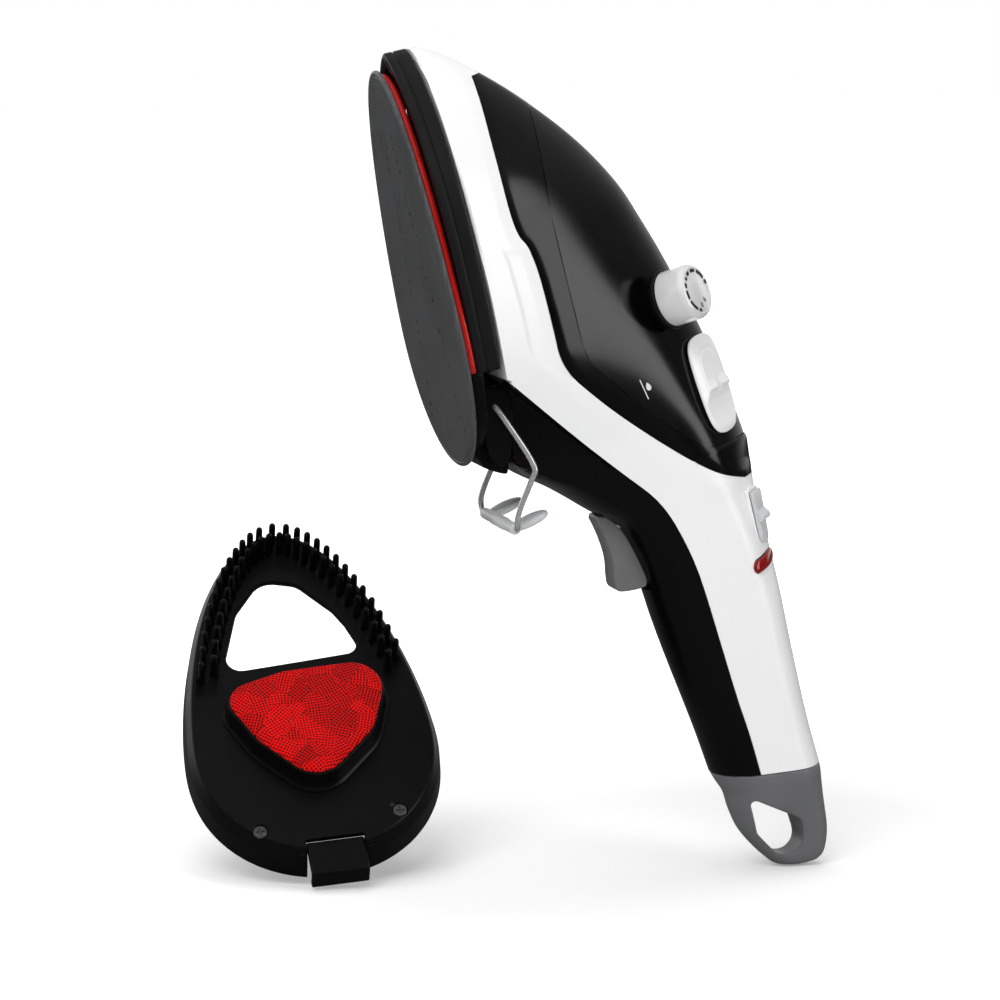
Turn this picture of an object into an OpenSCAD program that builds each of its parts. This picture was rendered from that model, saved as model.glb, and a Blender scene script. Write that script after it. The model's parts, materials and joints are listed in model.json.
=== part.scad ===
// Hand-held garment steamer with an iron-shaped soleplate, a water tank,
// a fold-out wire stand and a clip-on fabric brush.
// Everything on the steamer is drawn upright, with u (X) from the soleplate
// towards the back, Y across, and w (Z) up along the plate to its toe.
// placed() then leans the whole steamer over. The origin is the grip's centre.

/* [Pose] */
// Lean of the soleplate from upright, in degrees
lean = 12.2; // [6:0.2:16]

/* [Soleplate] */
// Length of the plate from heel to toe
sole_len = 157; // [150:1:160]
// Half of the plate's greatest width
sole_half = 48.5; // [46:0.5:50]
// Thickness of the plate's edge
sole_edge = 1.8; // [1.4:0.1:2]

/* [Housing] */
// Wall of the outer shells
wall = 2.2; // [1.6:0.1:2.6]
// Open seam between neighbouring shells
seam = 0.3; // [0.2:0.05:0.5]
// Half width of the neck between the stand's wires
neck_half = 25.5; // [24:0.5:26]

/* [Knob] */
// Diameter of the steam knob
knob_d = 21.5; // [18:0.5:22.5]
// Length of the knob's barrel
knob_len = 11; // [8:0.5:13]

/* [Trigger] */
// Half width of the trigger
trigger_half = 7; // [6:0.5:8]

/* [Stand] */
// Half distance between the two wires
stand_half = 28; // [28:0.5:30]
// Diameter of the wire
wire_d = 1.9; // [1.6:0.1:2]

/* [Brush] */
// Depth of the brush from its face to its back edge
brush_depth = 16; // [14:1:18]
// Length of a bristle
bristle_len = 12; // [8:1:13]
// Height of the pad's pedestal
pad_rise = 9; // [7:0.5:10]

/* [Hidden] */
$fn = 32;

// Soleplate and the parts stacked on its back, as places along u
sole_u = -93;
sole_toe = 266;
boss_u = -88.6;
shield_u = -87.9;
shell_u = -78;
shield_back = -79.2;
chamber_u = -74;
shield_end_w = 150;

// Body outline. Each row: w, front u, half width at the front, back u,
// half width at the back, roundness of the back, length of the front's rounding.
BODY = [
    [-42, -18, 17.5, 26, 19, 17, 17],
    [-20, -21, 18, 24.5, 19, 17, 17],
    [10, -26, 18.5, 24, 19.5, 17, 18],
    [30, -29, 19, 24, 20, 16, 18],
    [46, -31, 19.5, 23.5, 20.5, 14, 18],
    [63, -35, 20, 22.8, 21.5, 11, 18],
    [72, -39, 20.5, 22.3, 22, 9, 17],
    [82, -49, 22, 23, 22.5, 7, 15],
    [92, -60, 25, 22.8, 22, 5.5, 13],
    [102, -73, 29, 21.5, 21, 4.5, 10],
    [109, -78, 32, 20, 20.5, 4, 5],
    [120, -78, 36.5, 18, 20, 3.5, 0.05],
    [135, -78, 41.5, 14.8, 19.5, 3.5, 0.05],
    [150, -78, 45, 10.8, 19, 3.5, 0.05],
    [172, -78, 47, 4, 18.5, 3.5, 0.05],
    [186, -78, 46.5, -1, 18, 3.5, 0.05],
    [200, -78, 45, -6.5, 17.5, 3.5, 0.05],
    [214, -78, 42, -14.5, 17, 3.5, 0.05],
    [227, -78, 38, -24, 15, 3.5, 0.05],
    [240, -78, 32, -35.5, 13, 3.5, 0.05],
    [250, -78, 26, -45.5, 11, 3, 0.05],
    [260, -78, 17.5, -57, 8, 2.5, 0.05],
    [266, -78, 11, -65, 6, 2, 0.05],
    [270, -78, 5.5, -72, 3, 1.5, 0.05],
    [272, -78, 1, -77, 0.5, 1, 0.05]
];
// The same columns for the end cap, which carries on below the handle
CAP = [
    [-82, 7, 4.5, 17.5, 4.5, 6, 5],
    [-80, 0.5, 5.5, 20.3, 5.5, 8, 7],
    [-76, -3.5, 6.5, 22.4, 6.5, 9, 9],
    [-70, -7.8, 8, 24, 8, 10, 9],
    [-62, -12, 10.5, 24.6, 11, 12, 10],
    [-54, -14, 13.5, 25, 14.5, 14, 12],
    [-47, -14.8, 16, 25.5, 17, 16, 15],
    [-43.5, -16.5, 17, 25.8, 18.3, 17, 17],
    [-39, -18.4, 17.5, 25.8, 19, 17, 17]
];
// Seams, as u against w
LOW_SEAM = [[-42, -3], [-40, -3], [-21, -4.5], [-7, -6.5], [20, -9], [50, -12], [71, -18],
    [82, -24], [93, -34], [115, -53], [143, -76]];
TRIM_SEAM = [[78, 17], [81, 10], [84, 4], [90, -4], [100, -15], [115, -30], [126, -40],
    [142, -53], [160, -53.5], [190, -55], [197.5, -61], [229, -60], [248, -58], [260, -56]];
TANK_SEAM = [[93.6, 20], [95.5, 0], [115, -20], [141, -41], [148, -43], [173, -44], [201, -44],
    [221, -41], [238, -37.5], [241, -34]];
// Tilt of the cross-sections: the handle ends square to its own axis
SECTION_TILT = [[-60, 0], [-39, -0.13], [20, 0]];
deck_w = 93.5;
tilt_u = 2;
rows = 9;

// Trigger, stand and knob
trigger_at = [-36, 0, 72];
pin_r = 1.5;
running_gap = 0.06;
stand_at = [-80, 0, 133];
wire_r = wire_d / 2;
block_half = 22;
stand_boss_half = 26.6;
knob_w = 155;
knob_y = 18.5;
knob_tip = 80;
collar_rise = 5.5;
ring_len = 2.5;
spindle_r = 3;
filler_w = 117;
filler_y = 11;
filler_tip = 82;
filler_size = [42, 18, 3.2];
filler_lift = 0.5;
filler_hinge = [-21, 2.1];
filler_hinge_r = 1.5;
slider_w = 62;
slider_y = 12;
slider_turn = -37;
slider_lift = 0.9;
lamp_w = 45.5;
lamp_y = 12.5;
lamp_turn = -34;
lamp_size = [5, 13];
gland_at = [21, 12, -50];
gland_len = 12;
gland_r = 3.5;
gland_lip = 1.8;

// Brush: its own frame has X across, Y towards the toe and Z out of its face
brush_at = [-163, 59, -9];
brush_turn = [43.5, 0, -10];
brush_roll = 7.5;
brush_toe = 79;
skirt_grow = 3;
face_t = 2.4;
pad_t = 2.6;

// ---------- shape functions ----------

// Half width of an iron-shaped outline, p from 0 at the toe to 1 at the heel
function iron_half(p, half) =
    p <= 0 || p >= 1 ? 0
    : p < 0.67 ? half * sqrt(1 - pow(1 - p / 0.67, 1.6))
    : half * sqrt(1 - pow((p - 0.67) / 0.33, 2.2));

function iron_points(toe, length, half, n = 22) =
    let (ps = [for (i = [0:n]) (1 - cos(180 * i / n)) / 2])
    concat([for (p = ps) [iron_half(p, half), toe - p * length]],
           [for (i = [n - 1:-1:1]) [-iron_half(ps[i], half), toe - ps[i] * length]]);

// Row of a station table at height w, on a smooth curve through the rows
function tangent(t, i) =
    let (a = max(i - 1, 0), b = min(i + 1, len(t) - 1)) (t[b] - t[a]) / (t[b][0] - t[a][0]);
function row_index(t, w, i = 0) = i >= len(t) - 2 || w < t[i + 1][0] ? i : row_index(t, w, i + 1);
function row_at(t, w) =
    let (i = row_index(t, w), h = t[i + 1][0] - t[i][0], s = min(max((w - t[i][0]) / h, 0), 1))
    t[i] * (2 * s * s * s - 3 * s * s + 1) + tangent(t, i) * h * (s * s * s - 2 * s * s + s)
    + t[i + 1] * (3 * s * s - 2 * s * s * s) + tangent(t, i + 1) * h * (s * s * s - s * s);

// Half width of the body at u, from one row: the side, the sloping shoulder
// up to the ridge, and the rounded front
function half_in(r, u) =
    let (x = max(r[3] - u, 0),
         side = r[2] + (r[4] - r[2]) * (u - r[1]) / (r[3] - r[1]),
         shoulder = sqrt(pow(x + r[5], 2) - r[5] * r[5]),
         f = min(max((u - r[1]) / max(r[6], 0.05), 0), 1))
    shoulder < 0.001 ? 0
    : pow(pow(side, -6) + pow(shoulder, -6), -1 / 6) * sqrt(1 - pow(1 - f, 2));

function body_half(u, w) = half_in(row_at(BODY, w), u);
function back_u(w) = row_at(BODY, w)[3];
// Place on the shoulder or the handle's back where the half width is y
function shoulder_u(w, y) =
    let (r = row_at(BODY, w)) r[3] - (sqrt(y * y + r[5] * r[5]) - r[5]);

// Positions from a to b, closer together at both ends
function spread(a, b, n) = [for (i = [0:n]) a + (b - a) * (1 - cos(180 * i / n)) / 2];
function reversed(l) = [for (i = [len(l) - 1:-1:0]) l[i]];
function mirrored(l) = [for (p = reversed(l)) [p[0], -p[1]]];

// Path of a section's left side (y > 0), running from ub down to ua
function left_path(ua, ub, w, n) = [for (u = spread(ub, ua, n)) [u, body_half(u, w)]];

// Path moved to its left by t
function inner_path(path, t) = [for (i = [0:len(path) - 1])
    let (a = path[max(i - 1, 0)], b = path[min(i + 1, len(path) - 1)],
         d = i == 0 && abs(path[0][1]) < 0.02 ? [0, 1] : b - a)
    path[i] + t * [-d[1], d[0]] / norm(d)];
function strip_ring(path, t) = concat(path, reversed(inner_path(path, t)));

// Solid through rings of [u, y] points at heights ws. A ring made of a path and
// the same path inside it is a strip, and its ends are closed across the wall.
module loft(rings, ws, strip = false) {
    n = len(rings[0]);
    m = len(rings);
    points = [for (j = [0:m - 1]) for (p = rings[j])
        [p[0], p[1], ws[j] + lookup(ws[j], SECTION_TILT) * (p[0] - tilt_u)]];
    sides = [for (j = [0:m - 2]) for (i = [0:n - 1])
        let (a = j * n + i, b = j * n + (i + 1) % n) each [[a, a + n, b + n], [a, b + n, b]]];
    low = strip ? [for (i = [0:n / 2 - 2]) [i, i + 1, n - 2 - i, n - 1 - i]] : [[for (i = [0:n - 1]) i]];
    high = [for (f = low) [for (i = [len(f) - 1:-1:0]) (m - 1) * n + f[i]]];
    polyhedron(points, concat(sides, low, high), convexity = 8);
}

module placed() rotate([0, -lean, 0]) children();
module both_sides() { children(); mirror([0, 1, 0]) children(); }
// An outline in the plane of Y and w, made solid from u0 to u1
module across_u(u0, u1) translate([u0, 0, 0]) rotate([90, 0, 90]) linear_extrude(u1 - u0) children();
// An outline in the plane of u and w, made solid from y0 to y1
module across_y(y0, y1) translate([0, y1, 0]) rotate([90, 0, 0]) linear_extrude(y1 - y0) children();
// A frame on the right shoulder: Z out of the surface, X down along it
module on_shoulder(w, y, tip, turn = -45)
    translate([shoulder_u(w, y), -y, w]) rotate([0, tip, turn]) children();
module pill(length, width) hull()
    for (s = [-1, 1]) translate([s * (length - width) / 2, 0]) circle(d = width);
// A round bar between two points, with a round end at the second
module bar(a, b, r) {
    d = b - a;
    translate(a) rotate([0, acos(d[2] / norm(d)), atan2(d[1], d[0])]) cylinder(r = r, h = norm(d));
    translate(b) sphere(r = r + 0.1);
}

// ---------- soleplate and steam chamber ----------

module iron_solid(inset, u0, u1)
    across_u(u0, u1) polygon(iron_points(sole_toe - 1.4 * inset, sole_len - 2.2 * inset, sole_half - inset));

// Steam holes: clusters of rows that widen towards the heel
module steam_holes() {
    for (k = [0:4]) for (side = [-1, 1]) for (i = [0:3]) {
        w = 240 - 25 * k - 4.5 * i;
        y = 5 + 4.2 * k + 1.2 * i;
        translate([sole_u - 1, side * y, w]) rotate([0, 90, 0]) cylinder(r = 1.1, h = 8);
    }
}

module soleplate() placed() color("dimgray") difference() {
    union() {
        iron_solid(0, sole_u, sole_u + sole_edge);
        iron_solid(7, sole_u + sole_edge, boss_u);
    }
    steam_holes();
}

module shield_half_plane()
    translate([sole_u - 5, -60, shield_end_w]) cube([30, 120, 140]);

module plate_seal() placed() color("red") intersection() {
    difference() {
        iron_solid(2.4, sole_u + sole_edge + 0.1, boss_u + 0.5);
        iron_solid(6.6, sole_u, boss_u + 1);
    }
    shield_half_plane();
}

// Black ring between the hot plate and the white shell
module heat_shield() placed() color("black") across_u(shield_u, shield_back)
    difference() {
        polygon(concat([for (w = shield_ws) [row_at(BODY, w)[2] - 0.2, w - 0.4]],
            [for (w = reversed(shield_ws)) [-row_at(BODY, w)[2] + 0.2, w - 0.4]]));
        polygon(iron_points(sole_toe - 12, sole_len - 20, sole_half - 9.5));
        translate([-60, 90]) square([120, shield_end_w + 0.4 - 90]);
    }
shield_ws = [for (i = [0:16]) shield_end_w + (272 - shield_end_w) * sin(90 * i / 16)];

module steam_chamber() placed() color("silver") difference() {
    intersection() {
        iron_solid(14, boss_u + 0.1, chamber_u);
        translate([0, 0, 2]) shield_half_plane();
    }
    intersection() {
        iron_solid(22, boss_u, boss_u + 7);
        translate([0, 0, 9]) shield_half_plane();
    }
}

element_r = 3.2;
element_half = 17;
element_u = chamber_u + element_r + 0.1;
module heating_element() placed() color("darkgray") {
    translate([element_u, 0, 212]) rotate([90, 0, 90]) rotate_extrude(angle = 180)
        translate([element_half, 0]) circle(r = element_r);
    both_sides() translate([element_u, element_half, 146]) cylinder(r = element_r, h = 66);
    both_sides() translate([element_u, element_half, 136]) cylinder(r = 1.6, h = 10);
}

module thermostat() placed() color("tan") translate([chamber_u + 0.1, 0, 170])
    rotate([0, 90, 0]) {
        cylinder(r = 9, h = 6);
        translate([0, 0, 6]) cylinder(r = 5, h = 4);
    }

module thermal_fuse() placed() color("goldenrod") translate([chamber_u + 2.4, 0, 188])
    cylinder(r = 2.2, h = 18);

// ---------- shells ----------

// White shell, one half: the ring round the head and the back of the handle
function shell_front(w) = w < 143 ? lookup(w, LOW_SEAM) + seam / 2 : shell_u + 0.06;
trim_top = 256;
function shell_back(w) = w > 78 && w < trim_top + 0.4 ? lookup(w, TRIM_SEAM) - seam / 2 : back_u(w);
SHELL_WS = [-39, -20, 0, 20, 36, 50, 60, 71, 77.8, 78.2, 81, 84, 90, 100, 115, 126, 135, 142.9, 143.1,
    152, 160, 175, 190, 197.5, 205, 217, 229, 240, 249, trim_top + 0.2, trim_top + 0.6, 260, 264, 268, 270.5];
// The wall thins towards the top, where the shell closes
function shell_wall(w) = min(wall, lookup(w, [[262, wall], [270.5, 1]]));
module shell_half() loft([for (w = SHELL_WS)
    strip_ring(left_path(shell_front(w), shell_back(w), w, rows), shell_wall(w))], SHELL_WS);

module housing_left() placed() color("white") difference() {
    union() {
        shell_half();
        screw_places() translate([0, 0, 0.2]) cylinder(r = 3.6, h = head_y[0] + 0.4);
    }
    screw_places() translate([0, 0, -1]) cylinder(r = 1.45, h = head_y[0] + 2);
    screw_places() translate([0, 0, head_y[0]]) cylinder(r = 2.8, h = 6);
}

// Two screws join the halves: Z runs from the middle into the left shell
case_screws = [[15, -29], [10, 42]];
head_y = [16.4, 17.3];
module screw_places(side = 1) for (i = [0, 1])
    translate([case_screws[i][0], 0, case_screws[i][1]]) rotate([-90 * side, 0, 0]) children();

module housing_right() placed() color("white") difference() {
    union() {
        mirror([0, 1, 0]) shell_half();
        screw_places(-1) translate([0, 0, 0.2]) cylinder(r = 3.6, h = head_y[0] + 0.4);
    }
    screw_places(-1) translate([0, 0, -1]) cylinder(r = 1.3, h = 10);
    on_shoulder(slider_w, slider_y, 90, slider_turn) translate([-5.5, -2.5, -8]) cube([9, 5, 16]);
    on_shoulder(lamp_w, lamp_y, 90, lamp_turn) translate([0, 0, -6]) linear_extrude(10)
        rotate(90) pill(lamp_size[1] + 0.4, lamp_size[0] + 0.4);
}

// Black front half of the handle and the neck under the head
function cover_front(w) = max(row_at(BODY, w)[1] + 0.01, -76.5);
function cover_half(u, w) = min(body_half(u, w), w > 92 ? neck_half : 40);
function cover_left(w) =
    let (s = lookup(w, LOW_SEAM) - (w > 92 ? 0.45 : seam / 2), ledge = s - wall - 0.1)
    concat([[s, body_half(s, w)], [ledge, body_half(ledge, w)]],
        [for (u = spread(ledge - 0.9, min(cover_front(w), ledge - 1.2), rows)) [u, cover_half(u, w)]]);
// The same path on the inside, drawn in towards the seam: solid behind the ledge
function cover_inner(left, w) =
    let (s = left[0][0], f = left[len(left) - 1][0], most = min(left[0][1], w > 92 ? neck_half : 40))
    [for (p = left) [s + (p[0] - s) * (s - f - wall) / (s - f), min(p[1], most) * (most - wall) / most]];
function cover_ring(w) =
    let (left = cover_left(w), inner = cover_inner(left, w))
    concat(left, mirrored(left), reversed(concat(inner, mirrored(inner))));
COVER_WS = [-39, -20, 0, 20, 40, 55, 66, 72, 77, 82, 87, 92, 97, 102, 106, 109, 116, 128, 133.5];
module trigger_slot() translate([-50, -trigger_half - 0.5, 43.2]) cube([26, 2 * trigger_half + 1, 35.3]);

module front_cover() placed() color("black") difference() {
    loft([for (w = COVER_WS) cover_ring(w)], COVER_WS, true);
    trigger_slot();
}

// Black block behind the plate's heel, with the stand's pivots
module heel_block() placed() color("black") difference() {
    union() {
        difference() {
            iron_solid(2.6, sole_u + sole_edge + 0.2, shield_u + 2.3);
            iron_solid(6.6, sole_u, boss_u + 0.3);
            translate([sole_u - 5, -60, shield_end_w - 0.5]) cube([30, 120, 140]);
        }
        across_y(-block_half, block_half) polygon([[-87, 112], [-83, 106.5], [-77.2, 104],
            [-77.2, 146], [-87, 146]]);
        translate(stand_at) rotate([90, 0, 0]) translate([0, 0, -stand_boss_half])
            cylinder(r = 2.6, h = 2 * stand_boss_half);
    }
    translate(stand_at) rotate([90, 0, 0]) translate([0, 0, -stand_boss_half - 1])
        cylinder(r = wire_r + running_gap, h = 2 * stand_boss_half + 2);
}

// Black frame that carries the tank, closed across under it
function frame_back(w) = min(w > deck_w + 0.2 ? lookup(w, TANK_SEAM) : 60, back_u(w) - 0.01);
function frame_path(w) =
    let (a = lookup(w, TRIM_SEAM) + seam / 2, left = left_path(a, max(frame_back(w), a + 1), w, 7))
    concat(mirrored(left), left);
FRAME_WS = [78.4, 81, 84, 88, deck_w, deck_w + 0.4, 94.3, 95.5, 100, 107, 115, 126, 134, 142, 148, 160, 175,
    190, 197.5, 208, 221, 230, 238, 240.8, 241.2, 248, 252, trim_top];
frame_wall = wall - 0.4;
module tank_frame() placed() color("black") loft([for (w = FRAME_WS)
    strip_ring(frame_path(w), frame_wall)], FRAME_WS);

// Stiff plate under the tank, set inside the frame
deck_t = 1.8;
deck_inset = frame_wall + 0.6;
deck_path = left_path(lookup(deck_w, TRIM_SEAM) + 2, back_u(deck_w) - 0.01, deck_w, 7);
deck_left = [for (p = inner_path(deck_path, deck_inset)) if (p[1] > 1) p];
module tank_deck() placed() color("black") translate([0, 0, deck_w - deck_t - 0.3])
    linear_extrude(deck_t) polygon(concat(deck_left, mirrored(deck_left)));

// Water tank: a hollow body from the deck to the ridge. depth 0 is its skin.
function tank_ring(w, depth) =
    let (r = row_at(BODY, w) - depth * [0, 0, 1, 1.6, 1, 0, 0],
         left = [for (u = spread(r[3], lookup(w, TANK_SEAM) + 0.4 + depth, rows)) [u, half_in(r, u)]])
    concat(reversed([for (i = [1:rows]) [left[i][0], -left[i][1]]]), left);
TANK_WS = [94.3, 95.5, 101, 107, 115, 124, 134, 143, 152, 163, 175, 186, 198, 209, 219, 228, 234, 237.5];
HOLLOW_WS = [102, 107, 115, 124, 134, 143, 152, 163, 175, 186, 198, 209, 219];
module water_tank() placed() color("black") difference() {
    loft([for (w = TANK_WS) tank_ring(w, 0)], TANK_WS);
    loft([for (w = HOLLOW_WS) tank_ring(w, wall)], HOLLOW_WS);
    on_shoulder(knob_w, knob_y, knob_tip) translate([0, 0, -7]) cylinder(r = 9.3, h = 14);
    on_shoulder(filler_w, filler_y, filler_tip) translate([3, 0, -6]) cylinder(r = 6, h = 12);
}

// ---------- controls on the shoulder ----------

filler_top = filler_lift + filler_size[2];
module filler_cover() placed() color("white") on_shoulder(filler_w, filler_y, filler_tip) {
    translate([0, 0, filler_lift]) linear_extrude(filler_size[2]) pill(filler_size[0], filler_size[1]);
    translate([-0.6, -6, filler_top]) cube([2.4, 12, 1]);
    translate([filler_hinge[0], 4, filler_hinge[1]]) rotate([90, 0, 0]) cylinder(r = filler_hinge_r, h = 8);
}

module filler_seal() placed() color("dimgray") on_shoulder(filler_w, filler_y, filler_tip)
    translate([3, 0, filler_lift - 4]) cylinder(r = 5.3, h = 4);

module knob_collar() placed() color("black") on_shoulder(knob_w, knob_y, knob_tip) difference() {
    union() {
        translate([0, 0, -7]) cylinder(r = 9, h = 7 + collar_rise);
        translate([0, 0, collar_rise]) cylinder(r = knob_d / 2 + 0.9, h = ring_len - 0.3);
    }
    translate([0, 0, -8]) cylinder(r = spindle_r + running_gap, h = 30);
}

module steam_knob() placed() color("silver") on_shoulder(knob_w, knob_y, knob_tip) difference() {
    translate([0, 0, collar_rise + ring_len]) union() {
        cylinder(d = knob_d, h = knob_len - 1);
        translate([0, 0, knob_len - 1]) cylinder(d1 = knob_d, d2 = knob_d - 2, h = 1, $fn = 48);
    }
    translate([0, 0, collar_rise + ring_len - 1]) cylinder(r = spindle_r, h = knob_len - 3);
}

module knob_shaft() placed() color("gray") on_shoulder(knob_w, knob_y, knob_tip)
    translate([0, 0, -12]) cylinder(r = spindle_r, h = collar_rise + ring_len + knob_len + 12 - 4);

module steam_valve() placed() color("white") on_shoulder(knob_w, knob_y, knob_tip) difference() {
    translate([0, 0, -15]) cylinder(r = 8, h = 7.8);
    translate([0, 0, -12.2]) cylinder(r = spindle_r + running_gap, h = 6);
}

module switch_slider() placed() color("lightgray") on_shoulder(slider_w, slider_y, 90, slider_turn) {
    translate([0, 0, slider_lift]) linear_extrude(1.8) hull() {
        translate([-10.5, -4]) square([2, 8]);
        translate([8, 0]) circle(d = 6);
    }
    translate([-1.2, -4, slider_lift + 1.7]) cube([2.4, 8, 1.5]);
    translate([-1, -2, -4]) cube([4, 4, 5.5]);
}

module slide_switch() placed() color("black") on_shoulder(slider_w, slider_y, 90, slider_turn)
    translate([-8, -3.5, -12]) cube([16, 7, 6.5]);

module pilot_lamp() placed() color("darkred") on_shoulder(lamp_w, lamp_y, 90, lamp_turn)
    translate([0, 0, -3.5]) linear_extrude(4.4) rotate(90) pill(lamp_size[1], lamp_size[0]);

// ---------- trigger, pump and electrics in the handle ----------

module trigger() placed() color("gray") difference() {
    across_y(-trigger_half, trigger_half) polygon([[-45.5, 77.5], [-43.2, 70], [-42, 63], [-41.6, 57],
        [-42.8, 50], [-42.6, 46.6], [-40.8, 44.8], [-31, 44.2], [-29, 46], [-29, 56], [-32, 66],
        [-33.4, 70], [-34, 74], [-37, 75.4]]);
    translate(trigger_at) rotate([90, 0, 0]) translate([0, 0, -10]) cylinder(r = pin_r + running_gap, h = 20);
    translate([-35.6, -3.2, 48]) cube([11, 6.4, 8]);
}

module trigger_pin() placed() color("silver") translate(trigger_at) rotate([90, 0, 0])
    translate([0, 0, -9]) cylinder(r = pin_r, h = 18);

spring_r = 2.4;
spring_wire = 0.4;
spring_turns = 4;
spring_from = -32.9;
spring_len = 9;
function spring_point(t) = [t * spring_len, spring_r * cos(360 * spring_turns * t),
    spring_r * sin(360 * spring_turns * t)];
module trigger_spring() placed() color("silver") translate([spring_from, 0, 52]) {
    steps = spring_turns * 12;
    ring = [for (k = [0:5]) [spring_wire * cos(60 * k), spring_wire * sin(60 * k)]];
    points = [for (i = [0:steps]) let (a = 360 * spring_turns * i / steps, c = spring_point(i / steps))
        for (q = ring) c + [q[1], q[0] * cos(a), q[0] * sin(a)]];
    sides = [for (j = [0:steps - 1]) for (i = [0:5]) let (a = j * 6 + i, b = j * 6 + (i + 1) % 6)
        each [[a, b + 6, a + 6], [a, b, b + 6]]];
    polyhedron(points, concat(sides, [[5, 4, 3, 2, 1, 0]], [[for (i = [0:5]) steps * 6 + i]]), convexity = 6);
}

module microswitch() placed() color("dimgray") difference() {
    translate([-23.5, -5, 44]) cube([10, 10, 20]);
    translate([-24, -3.2, 48.4]) cube([2, 6.4, 7.2]);
}

module water_pump() placed() color("darkgray") {
    translate([-2, 0, -12]) cylinder(r = 10, h = 30);
    translate([-2, 0, 18]) cylinder(r = 2.4, h = 5);
    translate([-8, 0, 18]) cylinder(r = 2, h = 5);
}

tube_r = 2.3;
module suction_tube() placed() color("lightblue") {
    bar([-2, 0, 23.2], [-2, 0, 60], tube_r);
    bar([-2, 0, 60], [10, 0, 86], tube_r);
}

module steam_tube() placed() color("lightblue") {
    bar([-8, 0, 23.2], [-8, 0, 74], tube_r - 0.3);
    bar([-8, 0, 74], [-48, 0, 124], tube_r - 0.3);
    bar([-48, 0, 124], [-70, 0, 146], tube_r - 0.3);
}

module circuit_board() placed() color("green") translate([12.6, -11, -22]) {
    cube([1.6, 22, 56]);
    translate([-3, 4, 8]) cube([3, 12, 10]);
    translate([-2, 3, 34]) cube([2, 6, 6]);
}

module terminal_block() placed() color("ivory") translate([-12, -9, -34]) cube([18, 18, 16]);

// ---------- end cap ----------

// Circles of the teardrop hole, as u, w and radius
cap_circles = [[4.8, -68.8, 7.2], [7.5, -64.5, 4.4], [-1.8, -62.5, 5], [-6.2, -51.2, 1.8]];
module cap_hole() across_y(-30, 30) hull()
    for (c = cap_circles) translate([c[0], c[1]]) circle(r = c[2]);
CAP_WS = [-82, -81, -80, -78, -75.5, -72, -67, -62, -57, -52, -47, -43.5, -41.2, -39.3];
function cap_ring(w) =
    let (r = row_at(CAP, w), left = [for (u = spread(r[3], r[1], 11)) [u, half_in(r, u)]])
    concat([for (i = [10:-1:1]) [left[i][0], -left[i][1]]], left);
// Z runs inwards from the gland's mouth
module gland_axis() translate(gland_at) rotate([90, 0, -45]) children();

module end_cap() placed() color("gray") difference() {
    loft([for (w = CAP_WS) cap_ring(w)], CAP_WS);
    cap_hole();
    gland_axis() translate([0, 0, -9]) cylinder(r = gland_r + 2.5, h = gland_len + 9);
    translate([gland_at[0] - 8, gland_at[1] - 8, gland_at[2]]) cylinder(r = gland_r, h = 14);
}

module cord_gland() placed() color("black") gland_axis() difference() {
    translate([0, 0, -gland_lip]) cylinder(r = gland_r + 2.4, h = gland_len + gland_lip - 0.2);
    translate([0, 0, -5]) cylinder(r = gland_r, h = gland_len + 10);
}

module housing_screws() placed() color("silver") screw_places() {
    translate([0, 0, head_y[0] + 0.05]) cylinder(r = 2.6, h = head_y[1] - head_y[0]);
    translate([0, 0, -8]) cylinder(r = 1.2, h = head_y[0] + 8.1);
}

// ---------- wire stand ----------

knee = [-70, 107];
foot_bend = [-80.5, 86.5];
module stand_wire() placed() color("silver") {
    both_sides() {
        bar([stand_at[0], stand_boss_half - 6, stand_at[2]], [stand_at[0], stand_half, stand_at[2]], wire_r);
        bar([stand_at[0], stand_half, stand_at[2]], [knee[0], stand_half, knee[1]], wire_r);
        bar([knee[0], stand_half, knee[1]], [foot_bend[0], stand_half, foot_bend[1]], wire_r);
        bar([foot_bend[0], stand_half, foot_bend[1]], [foot_bend[0] - 0.5, stand_half - 4, foot_bend[1] - 3], wire_r);
    }
    translate([foot_bend[0] - 0.5, 0, foot_bend[1] - 3]) rotate([90, 0, 0])
        translate([0, 0, 4 - stand_half]) cylinder(r = wire_r, h = 2 * stand_half - 8);
}

module stand_foot() placed() color("gray") difference() {
    translate([foot_bend[0] - 0.5, 0, foot_bend[1] - 3]) {
        rotate([90, 0, 0]) translate([0, 0, 5 - stand_half]) cylinder(r = 2.3, h = 2 * stand_half - 10);
        both_sides() translate([6.5, stand_half - 9.5, -0.6]) rotate([0, -12, 0])
            linear_extrude(3) hull() {
                translate([4, 0]) circle(r = 4.5);
                translate([-4, 0]) circle(r = 4);
            }
    }
    translate([foot_bend[0] - 0.5, 0, foot_bend[1] - 3]) rotate([90, 0, 0])
        translate([0, 0, -stand_half]) cylinder(r = wire_r + 0.02, h = 2 * stand_half);
}

// ---------- brush ----------

module brush_frame_at() translate(brush_at) rotate(brush_turn) rotate(brush_roll) children();
function grown(g) = iron_points(brush_toe + g, sole_len + 2 * g, sole_half - 0.5 + g, 18);
function at_z(points, z) = [for (p = points) [p[0], p[1], z]];

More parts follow.
